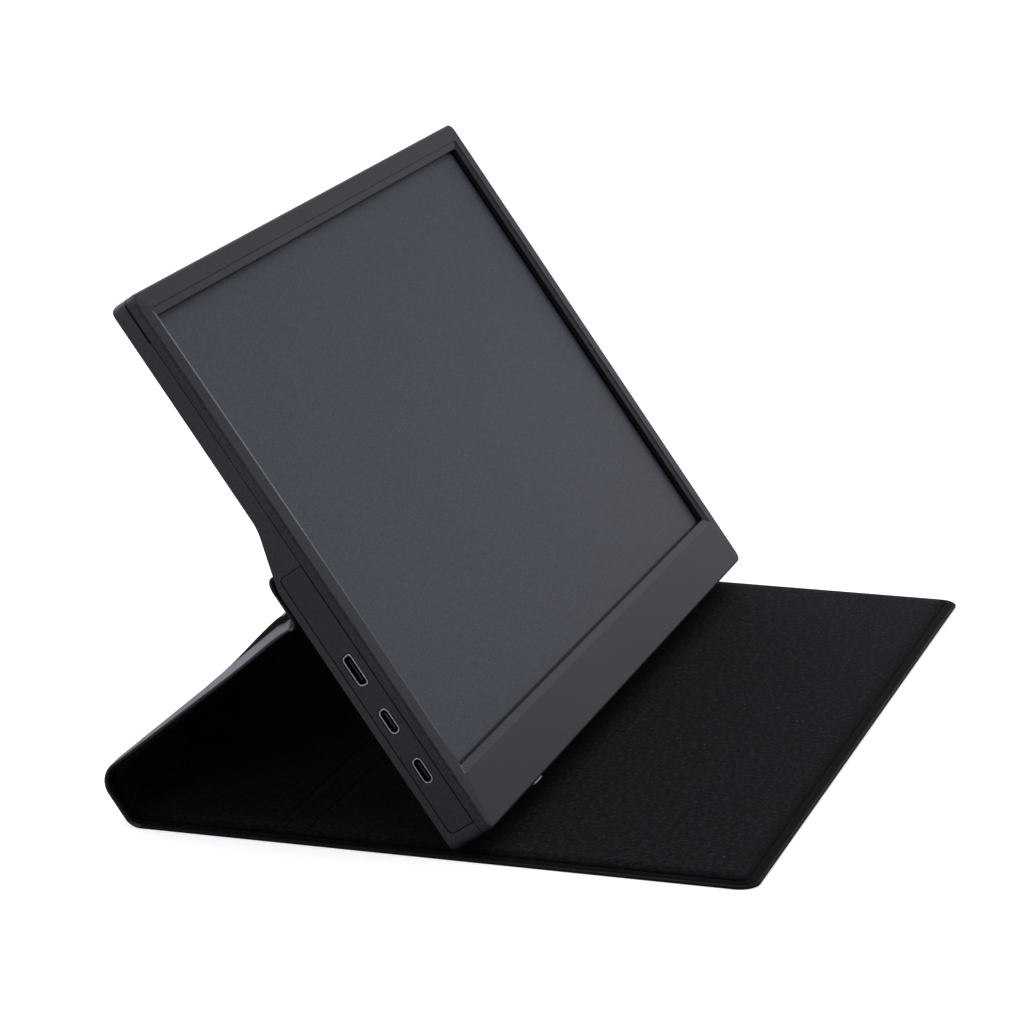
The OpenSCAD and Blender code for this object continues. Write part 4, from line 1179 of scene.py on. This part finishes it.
# Name, height on the monitor, number of contacts, pitch, contact width, thickness of the tongue
CONTACTS = [
    ("contacts_hdmi", 74.5 * MM, 10, 0.8 * MM, 0.4 * MM, 0.6 * MM),
    ("contacts_usb_upper", 52.6 * MM, 12, 0.5 * MM, 0.25 * MM, 0.7 * MM),
    ("contacts_usb_lower", 31.2 * MM, 12, 0.5 * MM, 0.25 * MM, 0.7 * MM),
]
LINT_L = 0.8 * MM
LINT_LIFT = 0.06 * MM
# Name, left, front, right and back of the area on the base's lining in millimetres, and its fibres
LINT_AREAS = [
    ("lint_cluster", (124, -103, 152, -87), 11),
    ("lint_strewn", (-170, -112, 170, -32), 46),
]


def make_contacts():
    """The contacts of the three sockets on the left."""
    rows = make_contact_rows()
    for name, up, count, pitch, width, tongue_t in CONTACTS:
        piece = piece_from(name, [(0, 0, 0)], [], GOLD_CONTACT)
        gap = tongue_t + CONTACT_T
        size = (CONTACT_L, width, CONTACT_T)
        grown(piece, rows, Count=count, Pitch=pitch, Size=size, Gap=gap, Finish=GOLD_CONTACT)
        first = (CONTACTS_AT, up - pitch * (count - 1) / 2, -TONGUE_DEPTH - gap / 2)
        piece.data.transform(MONITOR @ Matrix.Translation(first))
        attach(piece, "monitor")


def make_lint_pieces():
    """Lint on the base's lining."""
    lint = make_lint()
    for index, (name, (left, front, right, back), count) in enumerate(LINT_AREAS):
        outline = ((left, front), (right, front), (right, back), (left, back))
        corners = [(x * MM, y * MM, COVER_T + LINT_LIFT) for x, y in outline]
        piece = piece_from(name, corners, [(0, 1, 2, 3)], LINT)
        density = count / ((right - left) * (back - front) * MM * MM)
        grown(piece, lint, Density=density, Seed=SEED + index, Length=LINT_L, Finish=LINT)
        smooth(piece, 180)
        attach(piece, "base")


make_contacts()
make_lint_pieces()


# ---- the stage ----
CAMERA_AT = Vector((-1494.6, -439.9, 507.6)) * MM
LOOKS_AT = Vector((0, 22.76, 78.77)) * MM
ROLL = math.radians(0.28)
LENS = 143.1


def place_camera():
    """A long lens from the left and a little above."""
    camera = new_object("camera", bpy.data.cameras.new("camera"))
    camera.data.lens = LENS
    camera.data.sensor_width = 36
    camera.data.clip_start = 0.05
    aim = (LOOKS_AT - CAMERA_AT).to_track_quat("-Z", "Y").to_matrix().to_4x4()
    camera.matrix_world = Matrix.Translation(CAMERA_AT) @ aim @ Matrix.Rotation(-ROLL, 4, "Z")
    bpy.context.scene.camera = camera


def lay_floor():
    """A plain pale floor that throws little light at the object, most at its right and back."""
    half = 6.0
    verts = [(-half, -half, 0), (half, -half, 0), (half, half, 0), (-half, half, 0)]
    finish, tree, shader = new_finish(
        "pale_floor", Base_Color=(0.90, 0.90, 0.90, 1), Roughness=0.8,
        Emission_Color=(1, 1, 1, 1), Emission_Strength=0.6,
    )
    dim = add(tree, "ShaderNodeBsdfDiffuse", {"Roughness": 0.0})
    place = add(tree, "ShaderNodeTexCoord")
    across = add(tree, "ShaderNodeSeparateXYZ")
    side = add_range(tree, 0.15, 0.4)
    bearing = add(tree, "ShaderNodeVectorMath", operation="NORMALIZE")
    facing = add(tree, "ShaderNodeVectorMath", {1: (0.62, 0.77, 0)}, operation="DOT_PRODUCT")
    fade = add_range(tree, 0.3, 0.7, 0.12, 0.8)
    bounce = add(tree, "ShaderNodeMix", {"A": 0.44})
    join(tree, [
        (place, "Object", across, "Vector"), (place, "Object", bearing, 0),
        (bearing, "Vector", facing, 0), (facing, "Value", fade, "Value"),
        (across, "X", side, "Value"), (side, "Result", bounce, "Factor"),
        (fade, "Result", bounce, "B"), (bounce, "Result", dim, "Color"),
    ])
    seen = add(tree, "ShaderNodeLightPath")
    mix = add(tree, "ShaderNodeMixShader")
    join(tree, [
        (seen, "Is Camera Ray", mix, "Fac"), (dim, "BSDF", mix, 1), (shader, "BSDF", mix, 2),
    ])
    tree.links.new(mix.outputs["Shader"], tree.nodes["Material Output"].inputs["Surface"])
    piece_from("floor", verts, [(0, 1, 2, 3)], finish)


def soft_lamp(name, place, size, energy):
    """A soft rectangular lamp that points at the object."""
    lamp = bpy.data.lights.new(name, "AREA")
    lamp.shape = "RECTANGLE"
    lamp.size, lamp.size_y = size
    lamp.energy = energy
    lamp.color = (0.95, 0.97, 1.0)
    light = new_object(name, lamp)
    light.location = place
    aim = Vector((0, 0, 0.08)) - light.location
    light.rotation_euler = aim.to_track_quat("-Z", "Y").to_euler()


def light_studio():
    """A pale room, darker on the viewer's side, with soft lamps above, at the right and left."""
    world = bpy.data.worlds.new("studio")
    bpy.context.scene.world = world
    world.use_nodes = True
    tree = world.node_tree
    ground = tree.nodes["Background"]
    place = add(tree, "ShaderNodeTexCoord")
    facing = add(tree, "ShaderNodeVectorMath", {1: (0.62, 0.77, 0.15)}, operation="DOT_PRODUCT")
    fade = add_range(tree, 0.25, 1.0, 0.13, 2.0)
    seen = add(tree, "ShaderNodeLightPath")
    whole = add_math(tree, "MAXIMUM")
    join(tree, [
        (place, "Generated", facing, 0), (facing, "Value", fade, "Value"),
        (fade, "Result", whole, 0), (seen, "Is Camera Ray", whole, 1),
    ])
    tint = add_mix(tree, (0.93, 0.97, 1.08), (1, 1, 1))
    join(tree, [
        (seen, "Is Camera Ray", tint, "Factor"), (tint, "Result", ground, "Color"),
        (whole, 0, ground, "Strength"),
    ])
    soft_lamp("softbox_above", (-0.3, -0.2, 1.9), (1.6, 1.2), 12)
    soft_lamp("softbox_right", (0.85, -0.36, 0.24), (0.45, 0.35), 0.42)
    soft_lamp("softbox_left", (-1.5, 0.5, 0.5), (0.8, 0.8), 3.2)


bpy.context.scene.view_settings.view_transform = "Standard"
place_camera()
lay_floor()
light_studio()
